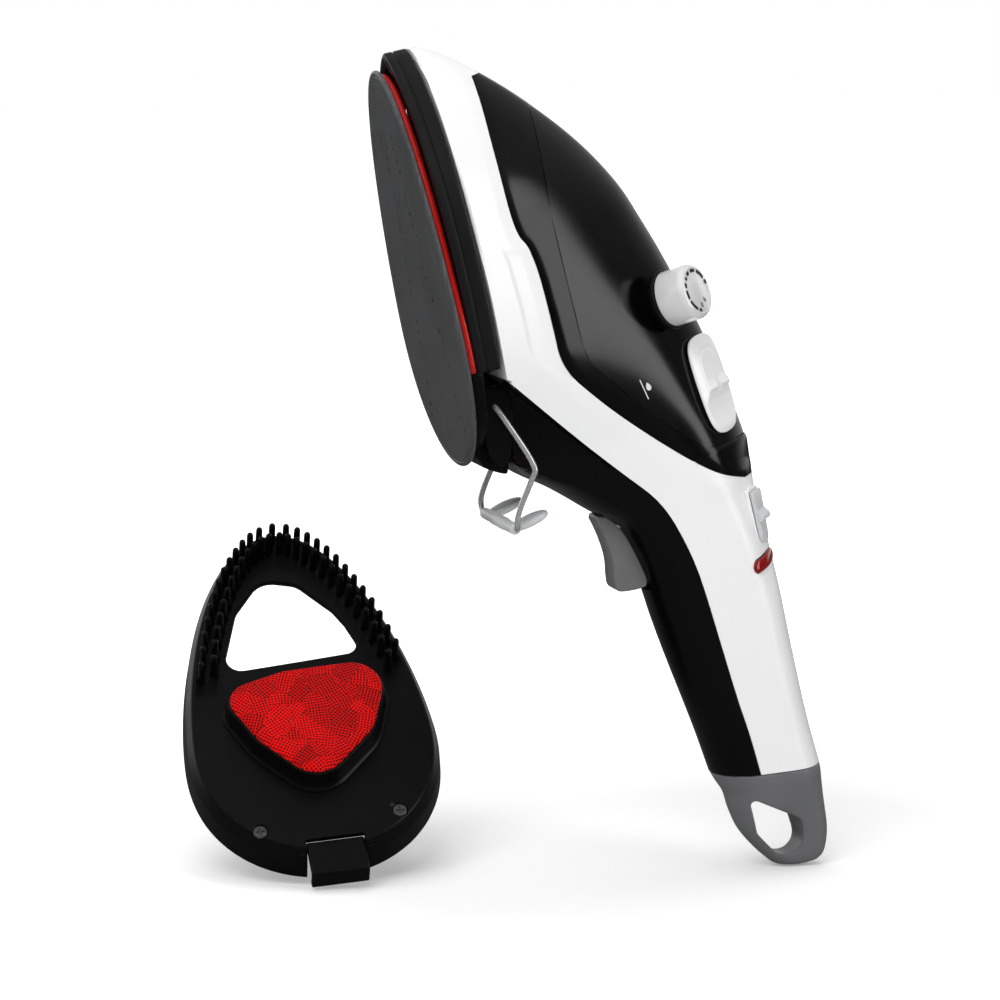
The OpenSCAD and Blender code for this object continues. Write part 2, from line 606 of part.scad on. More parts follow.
// Outer form: a straight skirt that narrows to the face
module brush_body() {
    rings = [at_z(grown(skirt_grow), -brush_depth), at_z(grown(skirt_grow - 1), -5),
        at_z(grown(0.4), -0.8), at_z(grown(-0.8), 0)];
    n = len(rings[0]);
    sides = [for (j = [0:2]) for (i = [0:n - 1]) let (a = j * n + i, b = j * n + (i + 1) % n)
        each [[a, b, b + n], [a, b + n, a + n]]];
    polyhedron([for (r = rings) each r], concat(sides, [[for (i = [n - 1:-1:0]) i]],
        [[for (i = [0:n - 1]) 3 * n + i]]));
}
module brush_window() hull() {
    translate([-2, 45]) circle(r = 9);
    translate([19, 20]) circle(r = 5);
    translate([-21, 19]) circle(r = 6);
}
screw_spots = [[-28, -66], [28, -64]];
latch_at = [0.5, -75, -3.4];
latch_half = 11.2;
latch_pin_r = 1.2;
latch_out = -88.5;
latch_drop = 10.7;
module latch_pin(r, half) translate(latch_at) rotate([0, 90, 0]) translate([0, 0, -half])
    cylinder(r = r, h = 2 * half);
module brush_frame() brush_frame_at() color("black") difference() {
    union() {
        difference() {
            brush_body();
            translate([0, 0, -brush_depth - 1]) linear_extrude(brush_depth + 1 - face_t)
                polygon(iron_points(brush_toe + 0.6, sole_len + 1.2, sole_half + 0.2, 18));
        }
        for (p = screw_spots) translate([p[0], p[1], -7.5]) cylinder(r = 3.4, h = 6);
        for (s = [-1, 1]) translate(latch_at + [s * (latch_half + 2.2) - 1.6, -3, -2.6])
            cube([3.2, 6, 4.4]);
    }
    translate([0, 0, -10]) linear_extrude(20) brush_window();
    for (p = screw_spots) translate([p[0], p[1], -8]) cylinder(r = 1.6, h = 10);
    for (p = screw_spots) translate([p[0], p[1], -1.2]) cylinder(r = 3.2, h = 10);
    translate([latch_at[0] - latch_half - 0.5, latch_out - 4, -brush_depth - 1])
        cube([2 * latch_half + 1, latch_at[1] + 2.5 - latch_out + 4, brush_depth + 5]);
    latch_pin(latch_pin_r + running_gap, latch_half + 6);
}

// Bristles stand in two rows along an arch round the toe
bristle_steps = 13;
arch_end = 0.46;
function rim_point(t) = let (p = arch_end * pow(abs(t), 1.5))
    [sign(t) * iron_half(p, sole_half - 0.5), brush_toe - p * sole_len];
function arch(t, inset) =
    let (a = rim_point(t - 0.02), b = rim_point(t + 0.02), d = (b - a) / norm(b - a))
    rim_point(t) + inset * [d[1], -d[0]];
module bristle_strip() brush_frame_at() color("black")
    for (k = [-bristle_steps:bristle_steps]) for (row = [0, 1])
        let (q = arch((k + 0.5 * row) / (bristle_steps + 0.5), 4 + 4.6 * row))
        translate([q[0], q[1], 0]) cylinder(r = 1.1, h = bristle_len, $fn = 13);

module pad_outline(grow = 0) hull() {
    translate([-22, -10.5]) circle(r = 9 + grow);
    translate([18, -9.5]) circle(r = 12.2 + grow);
    translate([-1, -35.5]) circle(r = 12.5 + grow);
    translate([6, -18]) circle(r = 20.6 + grow);
    translate([-6, -18]) circle(r = 20.2 + grow);
}
module pad_base() brush_frame_at() color("black") translate([0, 0, 0.02]) linear_extrude(pad_rise)
    pad_outline(0.8);

module lint_pad() brush_frame_at() color("red") translate([0, 0, pad_rise + 0.04]) linear_extrude(pad_t)
    pad_outline();

module brush_latch() brush_frame_at() color("black") {
    translate([latch_at[0] - latch_half, latch_out + 2.9, -4.6])
        cube([2 * latch_half, latch_at[1] - latch_out - 2.9, 3]);
    translate([latch_at[0] - latch_half, latch_out, -latch_drop])
        cube([2 * latch_half, 3, latch_drop - 1.6]);
    latch_pin(latch_pin_r, latch_half + 3.4);
}

module brush_screws() brush_frame_at() color("silver") for (p = screw_spots) translate([p[0], p[1], 0]) {
    translate([0, 0, -1.15]) cylinder(r = 2.8, h = 1);
    translate([0, 0, -7]) cylinder(r = 1.4, h = 5.9);
}

soleplate();
plate_seal();
heat_shield();
steam_chamber();
heating_element();
thermostat();
thermal_fuse();
housing_left();
housing_right();
front_cover();
heel_block();
tank_frame();
tank_deck();
water_tank();
filler_cover();
filler_seal();
knob_collar();
steam_knob();
knob_shaft();
steam_valve();
switch_slider();
slide_switch();
pilot_lamp();
trigger();
trigger_pin();
trigger_spring();
microswitch();
water_pump();
suction_tube();
steam_tube();
circuit_board();
terminal_block();
end_cap();
cord_gland();
housing_screws();
stand_wire();
stand_foot();
brush_frame();
bristle_strip();
pad_base();
lint_pad();
brush_latch();
brush_screws();
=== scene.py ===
# Looks of a hand-held garment steamer and its brush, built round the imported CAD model.
# Steamer pieces are drawn upright in millimetres (u back from the soleplate, y across, w up
# along the plate) and leaned over by on_steamer(); brush pieces have their own frame.
import json
import math
import random
import bpy
import bmesh
import numpy as np
from mathutils import Matrix, Vector


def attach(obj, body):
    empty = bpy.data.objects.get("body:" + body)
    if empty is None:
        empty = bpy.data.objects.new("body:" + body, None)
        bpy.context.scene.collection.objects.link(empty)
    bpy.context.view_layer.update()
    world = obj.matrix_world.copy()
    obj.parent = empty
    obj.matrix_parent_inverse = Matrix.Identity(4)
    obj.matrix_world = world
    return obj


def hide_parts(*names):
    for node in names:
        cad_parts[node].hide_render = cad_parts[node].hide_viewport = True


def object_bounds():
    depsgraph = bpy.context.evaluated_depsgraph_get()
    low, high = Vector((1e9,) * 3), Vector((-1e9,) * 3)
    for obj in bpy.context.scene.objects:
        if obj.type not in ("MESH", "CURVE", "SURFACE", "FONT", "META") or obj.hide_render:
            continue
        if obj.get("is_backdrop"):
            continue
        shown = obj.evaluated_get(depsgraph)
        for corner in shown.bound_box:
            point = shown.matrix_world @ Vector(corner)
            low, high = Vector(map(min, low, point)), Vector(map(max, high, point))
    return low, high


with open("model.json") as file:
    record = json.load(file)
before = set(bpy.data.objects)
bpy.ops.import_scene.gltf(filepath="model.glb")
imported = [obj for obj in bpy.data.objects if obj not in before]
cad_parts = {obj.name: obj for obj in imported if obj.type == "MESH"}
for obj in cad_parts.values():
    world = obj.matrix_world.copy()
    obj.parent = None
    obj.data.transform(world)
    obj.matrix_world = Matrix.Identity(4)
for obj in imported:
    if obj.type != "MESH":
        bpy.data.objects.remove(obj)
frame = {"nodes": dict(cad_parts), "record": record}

CAD_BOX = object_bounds()
random.seed(7)
MM = 0.001
LEAN = math.radians(12.2)

# -------- body tables (mm)

# w, front u, half width front, back u, half width back, roundness of the back, front rounding
BODY = np.array([
    [-42, -18, 17.5, 26, 19, 17, 17], [-20, -21, 18, 24.5, 19, 17, 17],
    [10, -26, 18.5, 24, 19.5, 17, 18], [30, -29, 19, 24, 20, 16, 18],
    [46, -31, 19.5, 23.5, 20.5, 14, 18], [63, -35, 20, 22.8, 21.5, 11, 18],
    [72, -39, 20.5, 22.3, 22, 9, 17], [82, -49, 22, 23, 22.5, 7, 15],
    [92, -60, 25, 22.8, 22, 5.5, 13], [102, -73, 29, 21.5, 21, 4.5, 10],
    [109, -78, 32, 20, 20.5, 4, 5], [120, -78, 36.5, 18, 20, 3.5, 1],
    [135, -78, 41.5, 14.8, 19.5, 3.5, 1], [150, -78, 45, 10.8, 19, 3.5, 1],
    [172, -78, 47, 4, 18.5, 3.5, 1], [186, -78, 46.5, -1, 18, 3.5, 1],
    [200, -78, 45, -6.5, 17.5, 3.5, 1], [214, -78, 42, -14.5, 17, 3.5, 1],
    [227, -78, 38, -24, 15, 3.5, 1], [240, -78, 32, -35.5, 13, 3.5, 1],
    [250, -78, 26, -45.5, 11, 3, 1], [260, -78, 17.5, -57, 8, 2.5, 1],
    [266, -78, 11, -65, 6, 2, 1], [270, -78, 5.5, -72, 3, 1.5, 0.8],
    [272, -78, 1, -77, 0.5, 1, 0.5]], float)
CAP = np.array([
    [-82, 7, 4.5, 17.5, 4.5, 6, 5], [-80, 0.5, 5.5, 20.3, 5.5, 8, 7],
    [-76, -3.5, 6.5, 22.4, 6.5, 9, 9], [-70, -7.8, 8, 24, 8, 10, 9],
    [-62, -12, 10.5, 24.6, 11, 12, 10], [-54, -14, 13.5, 25, 14.5, 14, 12],
    [-47, -14.8, 16, 25.5, 17, 16, 15], [-43.5, -16.5, 17, 25.8, 18.3, 17, 17],
    [-39, -18.4, 17.5, 25.8, 19, 17, 17]], float)
# Seams as u against w
LOW_SEAM = [(-42, -3), (-40, -3), (-21, -4.5), (-7, -6.5), (20, -9), (50, -12), (71, -18),
            (82, -24), (93, -34), (115, -53), (143, -76)]
TRIM_SEAM = [(78, 17), (81, 10), (84, 4), (90, -4), (100, -15), (115, -30), (126, -40),
             (142, -53), (160, -53.5), (190, -55), (197.5, -61), (229, -60), (248, -58), (256, -57)]
TANK_SEAM = [(93.6, 20), (95.5, 0), (115, -20), (141, -41), (148, -43), (173, -44), (201, -44),
             (221, -41), (238, -37.5), (241, -34)]
SHELL_U = -78.0
NECK_HALF = 25.5
SEAM = 0.3


def row_at(table, w):
    """Rows of a station table at heights w, on a smooth curve through the rows."""
    w = np.atleast_1d(np.asarray(w, float))
    i = np.clip(np.searchsorted(table[:, 0], w, side="right") - 1, 0, len(table) - 2)
    lo = np.maximum(np.arange(len(table)) - 1, 0)
    hi = np.minimum(np.arange(len(table)) + 1, len(table) - 1)
    slope = (table[hi] - table[lo]) / (table[hi, :1] - table[lo, :1])
    h = (table[i + 1, 0] - table[i, 0])[:, None]
    s = np.clip((w[:, None] - table[i, :1]) / h, 0, 1)
    return (table[i] * (2 * s**3 - 3 * s**2 + 1) + slope[i] * h * (s**3 - 2 * s**2 + s)
            + table[i + 1] * (3 * s**2 - 2 * s**3) + slope[i + 1] * h * (s**3 - s**2))


def half_in(r, u):
    """Half width of the body at u for the rows r."""
    x = np.maximum(r[:, 3] - u, 0)
    side = r[:, 2] + (r[:, 4] - r[:, 2]) * (u - r[:, 1]) / (r[:, 3] - r[:, 1])
    shoulder = np.sqrt(np.maximum((x + r[:, 5])**2 - r[:, 5]**2, 0))
    f = np.clip((u - r[:, 1]) / r[:, 6], 0, 1)
    y = (np.maximum(side, 1e-3)**-6 + np.maximum(shoulder, 1e-3)**-6) ** (-1 / 6)
    return np.where(shoulder < 1e-3, 0, y * np.sqrt(1 - (1 - f)**2))


def half(u, w):
    """Half width of the body at each (u, w)."""
    return half_in(row_at(BODY, np.ravel(w)), np.ravel(u)).reshape(np.shape(u))


def back(w):
    return row_at(BODY, w)[:, 3]


def seam(table, w):
    return np.interp(w, [p[0] for p in table], [p[1] for p in table])


def shoulder_u(w, y):
    r = row_at(BODY, w)[0]
    return r[3] - (math.sqrt(y * y + r[5]**2) - r[5])


def xyz(x, y, z):
    """Points from three arrays or numbers."""
    return np.stack(np.broadcast_arrays(x, y, z), -1)


def eased(n):
    """n values from 0 to 1, closer together at both ends."""
    return (1 - np.cos(np.linspace(0, math.pi, n))) / 2


def smooth_step(x):
    return x * x * (3 - 2 * x)


def on_steamer(p):
    """Points (u, y, w) in mm to the row frame in metres; the handle's end is cut square."""
    p = np.asarray(p, float)
    u, y, w = p[..., 0], p[..., 1], p[..., 2]
    return plain_steamer(xyz(u, y, w + np.interp(w, [-60, -39, 20], [0, -0.13, 0]) * (u - 2)))


def plain_steamer(p):
    """The same without the squared end, for parts that aren't shells."""
    p = np.asarray(p, float)
    u, y, w = p[..., 0], p[..., 1], p[..., 2]
    c, s = math.cos(LEAN), math.sin(LEAN)
    return xyz(u * c - w * s, y, u * s + w * c) * MM


def rotation(axis, degrees):
    return np.array(Matrix.Rotation(math.radians(degrees), 3, axis))


def shoulder_frame(w, y, tip, turn=-45):
    """Local X down the shoulder, Z out of it, to the row frame."""
    turned = rotation("Z", turn) @ rotation("Y", tip)
    base = np.array([shoulder_u(w, y), -y, w])
    return lambda p: plain_steamer(np.asarray(p, float) @ turned.T + base)


BRUSH_TURN = rotation("Z", -10) @ rotation("X", 43.5) @ rotation("Z", 7.5)
BRUSH_AT = np.array([-163, 59, -9.0])


def on_brush(p):
    return (np.asarray(p, float) @ BRUSH_TURN.T + BRUSH_AT) * MM


# -------- mesh helpers

def linked(name, data):
    """A new object in the scene."""
    ob = bpy.data.objects.new(name, data)
    bpy.context.scene.collection.objects.link(ob)
    return ob


def smooth_all(ob):
    ob.data.polygons.foreach_set("use_smooth", [True] * len(ob.data.polygons))


def add(name, verts, faces, smooth=True):
    mesh = bpy.data.meshes.new(name)
    mesh.from_pydata([tuple(v) for v in np.asarray(verts).reshape(-1, 3)], [], faces)
    mesh.polygons.foreach_set("use_smooth", [smooth] * len(mesh.polygons))
    return linked(name, mesh)


def grid_faces(rows, cols, wrap=False, start=0):
    last = cols if wrap else cols - 1
    return [(start + j * cols + i, start + j * cols + (i + 1) % cols,
             start + (j + 1) * cols + (i + 1) % cols, start + (j + 1) * cols + i)
            for j in range(rows - 1) for i in range(last)]


def applied(ob, *mods):
    """Adds modifiers (type, settings) and makes their result the mesh."""
    for kind, settings in mods:
        m = ob.modifiers.new(kind, kind)
        for key, value in settings.items():
            setattr(m, key, value)
    graph = bpy.context.evaluated_depsgraph_get()
    mesh = bpy.data.meshes.new_from_object(ob.evaluated_get(graph))
    ob.modifiers.clear()
    old, ob.data = ob.data, mesh
    bpy.data.meshes.remove(old)
    return ob


def bevelled(width, segments=3, angle=35):
    return ("BEVEL", dict(
        width=width * MM, segments=segments, limit_method="ANGLE",
        angle_limit=math.radians(angle), harden_normals=True,
        use_clamp_overlap=True))


def edited(ob, change):
    """Runs change on the object's mesh."""
    bm = bmesh.new()
    bm.from_mesh(ob.data)
    change(bm)
    bm.to_mesh(ob.data)
    bm.free()
    return ob


def welded(ob, distance=0.02):
    def weld(bm):
        bmesh.ops.remove_doubles(bm, verts=bm.verts, dist=distance * MM)
        bmesh.ops.dissolve_degenerate(bm, edges=bm.edges, dist=1e-7)
    return edited(ob, weld)


def closed_normals(ob):
    return edited(ob, lambda bm: bmesh.ops.recalc_face_normals(bm, faces=bm.faces))


def outward(ob):
    """Turns an open sheet's faces away from the steamer's middle plane."""
    def turn(bm):
        bmesh.ops.recalc_face_normals(bm, faces=bm.faces)
        if sum(f.normal.y * f.calc_center_median().y * f.calc_area() for f in bm.faces) < 0:
            bmesh.ops.reverse_faces(bm, faces=bm.faces)
    return edited(ob, turn)


def thick_shell(name, grids, wall=2.0, edge=0.3, weld=0.02):
    """A shell from one or more grids of outer points, thickened inwards, with rounded rims."""
    verts, faces = [], []
    for g in grids:
        faces += grid_faces(g.shape[0], g.shape[1], start=sum(len(v) for v in verts))
        verts.append(g.reshape(-1, 3))
    ob = add(name, np.concatenate(verts), faces)
    welded(ob, weld)
    outward(ob)
    return applied(ob, ("SOLIDIFY", dict(thickness=wall * MM, offset=-1, use_even_offset=False)),
                   bevelled(edge))


def loops_mesh(name, loops, smooth=True):
    """A closed skin through loops of points, each (n, 3), with a fan over each end."""
    m, n = loops.shape[:2]
    faces = grid_faces(m, n, wrap=True)
    for middle, k in ((m * n, 0), (m * n + 1, m - 1)):
        faces += [(middle, k * n + i, k * n + (i + 1) % n) for i in range(n)]
    verts = np.concatenate([loops.reshape(-1, 3), [loops[0].mean(0), loops[-1].mean(0)]])
    return closed_normals(add(name, verts, faces, smooth))


def unit(v):
    """Vectors scaled to length 1."""
    return v / np.linalg.norm(v, axis=-1, keepdims=True)


def left_of(t):
    """The plane vectors turned a quarter turn to the left."""
    return np.stack([-t[..., 1], t[..., 0]], -1)


def resampled(points, n, closed=False):
    """n points evenly along a polyline."""
    p = np.asarray(points, float)
    if closed:
        p = np.concatenate([p, p[:1]])
    d = np.concatenate([[0], np.cumsum(np.linalg.norm(np.diff(p, axis=0), axis=1))])
    t = np.linspace(0, d[-1], n, endpoint=not closed)
    return np.stack([np.interp(t, d, p[:, k]) for k in range(p.shape[1])], -1)


def smoothed(points, passes=2, closed=True):
    """Rounds the corners of a polyline by cutting them."""
    p = np.asarray(points, float)
    for _ in range(passes):
        a = p if closed else p[:-1]
        b = np.roll(p, -1, 0) if closed else p[1:]
        cut = np.stack([a * 0.75 + b * 0.25, a * 0.25 + b * 0.75], 1).reshape(-1, p.shape[1])
        p = cut if closed else np.concatenate([p[:1], cut, p[-1:]])
    return p


def inset_loop(loop, d):
    """A closed anticlockwise loop in the plane moved inwards by d."""
    return loop + d * left_of(unit(np.roll(loop, -1, 0) - np.roll(loop, 1, 0)))


def with_z(loop, z):
    return xyz(loop[:, 0], loop[:, 1], z)


def hull_of_circles(circles, n):
    """Outline round circles (x, y, r), anticlockwise."""
    a = np.radians(np.arange(0, 360, 1.0))
    d = np.stack([np.cos(a), np.sin(a)], -1)
    reach = np.stack([d @ np.array(c[:2]) + c[2] for c in circles], 0)
    best = np.argmax(reach, 0)
    pts = np.array([np.array(circles[k][:2]) + circles[k][2] * d[i] for i, k in enumerate(best)])
    return resampled(pts, n, closed=True)


def circle(n):
    """n points round the unit circle."""
    a = np.linspace(0, 2 * math.pi, n, endpoint=False)
    return np.stack([np.cos(a), np.sin(a)], -1)


# Angles of the rings that round a tube's end
TUBE_END = (0.25, 0.75, 1.2)


def tube(name, path, radius, sides, to):
    """A round bar along a path of points, with rounded ends."""
    p = np.asarray(path, float)
    t = unit(np.gradient(p, axis=0))
    up = np.array([0.0, 1.0, 0.0]) if abs(t[0][1]) < 0.9 else np.array([1.0, 0, 0])
    around = circle(sides)
    loops = []
    side = unit(np.cross(t[0], up))
    for k in range(len(p)):
        side = unit(side - t[k] * side.dot(t[k]))
        other = np.cross(t[k], side)
        ring = around[:, :1] * side + around[:, 1:] * other
        if k == 0:
            loops += [p[0] + radius * (math.sin(q) * ring - math.cos(q) * t[0]) for q in TUBE_END]
        loops.append(p[k] + radius * ring)
        if k == len(p) - 1:
            loops += [p[k] + radius * (math.sin(q) * ring + math.cos(q) * t[k]) for q in TUBE_END[::-1]]
    return loops_mesh(name, to(np.array(loops)))


def turned(name, profile, to, sides=64):
    """A turned piece from a profile of (radius, height) points, about the local Z."""
    loops = [with_z(r * circle(sides), z) for r, z in profile]
    return loops_mesh(name, to(np.array(loops)))


def cut(ob, *tools):
    for t in tools:
        applied(ob, ("BOOLEAN", dict(operation="DIFFERENCE", object=t, solver="EXACT")))
    for t in tools:
        bpy.data.objects.remove(t)
    return ob


def prism(name, outline, lo, hi, to):
    """A plane outline of (u, w) made solid from y = lo to hi."""
    pts = np.asarray(outline, float)
    ring = lambda y: xyz(pts[:, 0], y, pts[:, 1])
    n = len(pts)
    ob = add(name, to(np.concatenate([ring(lo), ring(hi)])),
             [tuple(range(n)), tuple(range(2 * n - 1, n - 1, -1))]
             + [(i, (i + 1) % n, n + (i + 1) % n, n + i) for i in range(n)], smooth=False)
    return closed_normals(ob)


def joined(name, *obs):
    bm = bmesh.new()
    for o in obs:
        bm.from_mesh(o.data)
    mesh = bpy.data.meshes.new(name)
    bm.to_mesh(mesh)
    bm.free()
    for o in obs:
        bpy.data.objects.remove(o)
    return linked(name, mesh)


# -------- materials

def node(nt, kind, inputs, **settings):
    """A shader node; each input, by name or number, is a value or a socket to link."""
    made = nt.nodes.new("ShaderNode" + kind)
    for key, value in settings.items():
        setattr(made, key, value)
    fill(nt, made, inputs)
    return made


def fill(nt, made, inputs):
    for key, value in inputs.items():
        if isinstance(value, bpy.types.NodeSocket):
            nt.links.new(value, made.inputs[key])
        else:
            made.inputs[key].default_value = value


def maths(nt, op, *values):
    return node(nt, "Math", dict(enumerate(values)), operation=op).outputs[0]


def mixed(nt, factor, first, second):
    """A colour that goes from first to second with factor."""
    return node(nt, "Mix", {"Factor": factor, "A": first, "B": second}, data_type="RGBA").outputs["Result"]


def grey(v):
    return (v, v, v)


def opaque(v):
    return (v, v, v, 1)


def ramp(nt, source, stops):
    made = node(nt, "ValToRGB", {"Fac": source})
    while len(made.color_ramp.elements) < len(stops):
        made.color_ramp.elements.new(0.5)
    for e, (pos, value) in zip(made.color_ramp.elements, stops):
        e.position = pos
        e.color = (*value, 1)
    return made.outputs["Color"]


def coords(nt, scale=(1, 1, 1), turn=(0, 0, 0)):
    place_on = node(nt, "TexCoord", {}).outputs["Object"]
    return node(nt, "Mapping", {"Scale": scale, "Rotation": turn, "Vector": place_on}).outputs["Vector"]


def noise(nt, scale, vector, detail=4.0, rough=0.55):
    return node(nt, "TexNoise", {"Scale": scale, "Detail": detail, "Roughness": rough,
                                 "Vector": vector}).outputs["Fac"]


def bump(nt, height, strength, distance):
    return node(nt, "Bump", {"Strength": strength, "Distance": distance,
                             "Height": height}).outputs["Normal"]


def new_material(name):
    m = bpy.data.materials.new(name)
    m.use_nodes = True
    return m, m.node_tree, m.node_tree.nodes["Principled BSDF"]


def plastic(name, colour, rough, spread=0.05, grain=0.02, grain_size=2500, vary=0.12, specular=0.5,
            metallic=0.0, coat=0.0):
    """Moulded plastic: fine grain in the bump, and slow changes in colour and gloss."""
    m, nt, bsdf = new_material(name)
    at = coords(nt)
    dark = tuple(c * (1 - vary) for c in colour)
    fill(nt, bsdf, {
        "Base Color": ramp(nt, noise(nt, 38.0, at, 3.0), [(0.35, dark), (0.65, colour)]),
        "Roughness": ramp(nt, noise(nt, 160.0, at, 5.0, 0.6),
                          [(0.3, grey(max(rough - spread, 0.02))), (0.7, grey(rough + spread))]),
        "Normal": bump(nt, noise(nt, grain_size, at, 2.0), grain, 0.0004),
        "Coat Weight": coat, "Coat Roughness": 0.08, "Metallic": metallic,
        "Specular IOR Level": specular})
    return m


def brushed(name, colour, rough, along, streak=900, amount=0.25, metallic=1.0, turn=(0, 0, 0)):
    """Metal with fine streaks along one axis."""
    m, nt, bsdf = new_material(name)
    scale = [streak] * 3
    scale[along] = streak * 0.02
    fine = noise(nt, 1.0, coords(nt, tuple(scale), turn), 3.0)
    slow = noise(nt, 25.0, coords(nt), 3.0)
    mix = maths(nt, "MULTIPLY_ADD", fine, 0.6, maths(nt, "MULTIPLY", slow, 0.4))
    low = tuple(c * (1 - amount) for c in colour)
    high = tuple(min(c * (1 + amount), 1) for c in colour)
    fill(nt, bsdf, {
        "Base Color": ramp(nt, mix, [(0.36, low), (0.64, high)]),
        "Roughness": ramp(nt, fine, [(0.3, grey(rough * 0.8)), (0.7, grey(rough * 1.25))]),
        "Normal": bump(nt, fine, 0.05, 0.0002), "Metallic": metallic})
    return m


def fabric(name, cell=8.0, pitch=1.25):
    """Red lint fabric: cells that each have their own direction of crossed lines."""
    m, nt, bsdf = new_material(name)
    flat = node(nt, "UVMap", {}, uv_map="weave").outputs[0]
    cells = node(nt, "TexVoronoi", {"Scale": 100.0 / cell, "Vector": flat})
    tint = node(nt, "SeparateColor", {0: cells.outputs["Color"]})
    turned_by = maths(nt, "MULTIPLY", tint.outputs[0], math.pi)
    turn = node(nt, "VectorRotate", {"Vector": flat, "Angle": turned_by}, rotation_type="Z_AXIS")
    xy = node(nt, "SeparateXYZ", {0: turn.outputs[0]})
    step = 2 * math.pi * 100.0 / pitch
    first, second = [maths(nt, "SINE", maths(nt, "MULTIPLY", xy.outputs[k], step)) for k in (0, 1)]
    crossed = maths(nt, "MAXIMUM", first, maths(nt, "MULTIPLY", second, 0.75))
    weave = maths(nt, "ADD", maths(nt, "MULTIPLY", crossed, 0.5), 0.5)
    fuzz = noise(nt, 3500.0, coords(nt), 3.0)
    height = maths(nt, "ADD", maths(nt, "MULTIPLY", weave, 0.8), maths(nt, "MULTIPLY", fuzz, 0.3))
    cell_shade = maths(nt, "ADD", maths(nt, "MULTIPLY", tint.outputs[1], 0.25), 0.85)
    # painted shade: the weave's low parts are coloured near black between its raised lines; each cell's own
    # tone is random
    painted_groove_shade = maths(nt, "MULTIPLY", height, cell_shade)
    fill(nt, bsdf, {
        "Base Color": ramp(nt, painted_groove_shade, [(0.42, (0.02, 0, 0)), (0.66, (0.4, 0, 0)), (0.92, (0.85, 0, 0))]),
        "Roughness": ramp(nt, fuzz, [(0.3, grey(0.6)), (0.7, grey(0.85))]),
        "Normal": bump(nt, height, 0.6, 0.0004), "Specular IOR Level": 0.2,
        "Sheen Weight": 0.05, "Sheen Roughness": 0.4})
    return m


PIANO_BLACK = (0.0015, 0.0015, 0.0017)
# colour, roughness and its spread, grain depth and size, variation, specular, metallic, coat
PLASTICS = {
    "seal_red": ((0.42, 0.006, 0.004), 0.3, 0.06, 0.04),
    "black_gloss": (PIANO_BLACK, 0.16, 0.02, 0.004, 2500, 0.3, 0.4),
    "black_matte": ((0.002, 0.002, 0.0022), 0.36, 0.05, 0.05, 4000, 0.3, 0.3),
    "white_gloss": ((0.88, 0.88, 0.885), 0.26, 0.006, 0.003, 2500, 0.004),
    "tank_smoke": (PIANO_BLACK, 0.17, 0.01, 0.002, 2500, 0.3),
    "grey_plastic": ((0.15, 0.152, 0.157), 0.42, 0.05, 0.12, 3500, 0.1),
    "silver_knob": ((0.88, 0.88, 0.89), 0.2, 0.02, 0.0, 2500, 0.01, 0.5, 0.3),
    "lamp_red": ((0.3, 0.003, 0.004), 0.14, 0.03, 0.01, 2500, 0.3, 0.5, 0.0, 0.5),
    "light_grey": ((0.6, 0.61, 0.62), 0.34, 0.04, 0.04, 2500, 0.04),
    "silicone": ((0.6, 0.64, 0.67), 0.4, 0.05, 0.05, 2500, 0.08),
    "board_green": ((0.012, 0.12, 0.04), 0.4, 0.08, 0.2, 900, 0.4),
    "ceramic": ((0.62, 0.56, 0.46), 0.6, 0.08, 0.25, 1500, 0.15),
    "shield_grey": ((0.008, 0.0082, 0.0085), 0.32, 0.04, 0.04, 3500, 0.2, 0.4),
    "trigger_grey": ((0.15, 0.151, 0.155), 0.36, 0.05, 0.08, 3500),
    "brush_black": ((0.0025, 0.0025, 0.0027), 0.34, 0.05, 0.05, 3500, 0.3, 0.3),
    "bristle_black": ((0.003, 0.003, 0.0035), 0.3, 0.05, 0.03, 2500, 0.3, 0.35),
    "mark_white": ((0.8, 0.8, 0.8), 0.5, 0.05, 0.02, 2500, 0.05),
    "mark_black": ((0.01, 0.01, 0.01), 0.5, 0.05, 0.02, 2500, 0.05),
    "mark_grey": ((0.2, 0.2, 0.21), 0.5, 0.05, 0.02, 2500, 0.05),
}
# colour, roughness, axis of the streaks, their fineness and strength, metallic, turn
METALS = {
    "plate_metal": ((0.1, 0.102, 0.107), 0.34, 2, 900, 0.25, 0.35, (0, LEAN, 0)),
    "wire_steel": ((0.85, 0.85, 0.86), 0.2, 2, 700, 0.08, 0.75),
    "screw_steel": ((0.13, 0.13, 0.135), 0.35, 0, 900, 0.2, 0.7),
    "brass_part": ((0.6, 0.42, 0.17), 0.3, 2, 800, 0.15),
}
MAT = {name: plastic(name, *look) for name, look in PLASTICS.items()}
MAT.update({name: brushed(name, *look) for name, look in METALS.items()})
MAT["pad_fabric"] = fabric("pad_fabric")


def paint(ob, material):
    ob.data.materials.clear()
    ob.data.materials.append(material)


def place(ob, body, slot, *nodes, look=None):
    """Finishes a piece: its material, the body it rides on and the nodes it stands for."""
    paint(ob, MAT[look or slot])
    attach(ob, body)
    if nodes:
        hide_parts(*nodes)
    return ob


# -------- shells

def region(front, rear, n):
    """Skin between two curves of (w, u), the same number of points in each."""
    s = 1 - (1 - np.linspace(0, 1, n))**2
    w = front[:, :1] * (1 - s) + rear[:, :1] * s
    u = front[:, 1:] * (1 - s) + rear[:, 1:] * s
    u = np.minimum(u, back(w.ravel()).reshape(w.shape))
    return u, w


def pieced(parts):
    """Joins (points, count) stretches into one curve, each resampled on its own."""
    out = []
    for pts, n in parts:
        c = resampled(pts, n + 1)
        out.append(c if not out else c[1:])
    return np.concatenate(out)


def ridge(w0, w1, n=40):
    w = np.linspace(w0, w1, n)
    return np.stack([w, back(w)], -1)


def seam_points(table, w0, w1, shift=0.0):
    """The seam's points from w0 to w1, rounded at its corners."""
    inner = [(w, u) for w, u in table if w0 < w < w1]
    p = smoothed([(w0, seam(table, w0)), *inner, (w1, seam(table, w1))], 3, closed=False)
    return p + np.array([0, shift])


BOTTOM, TOE = -39.0, 271.2
TRIM_TOP = 256.2


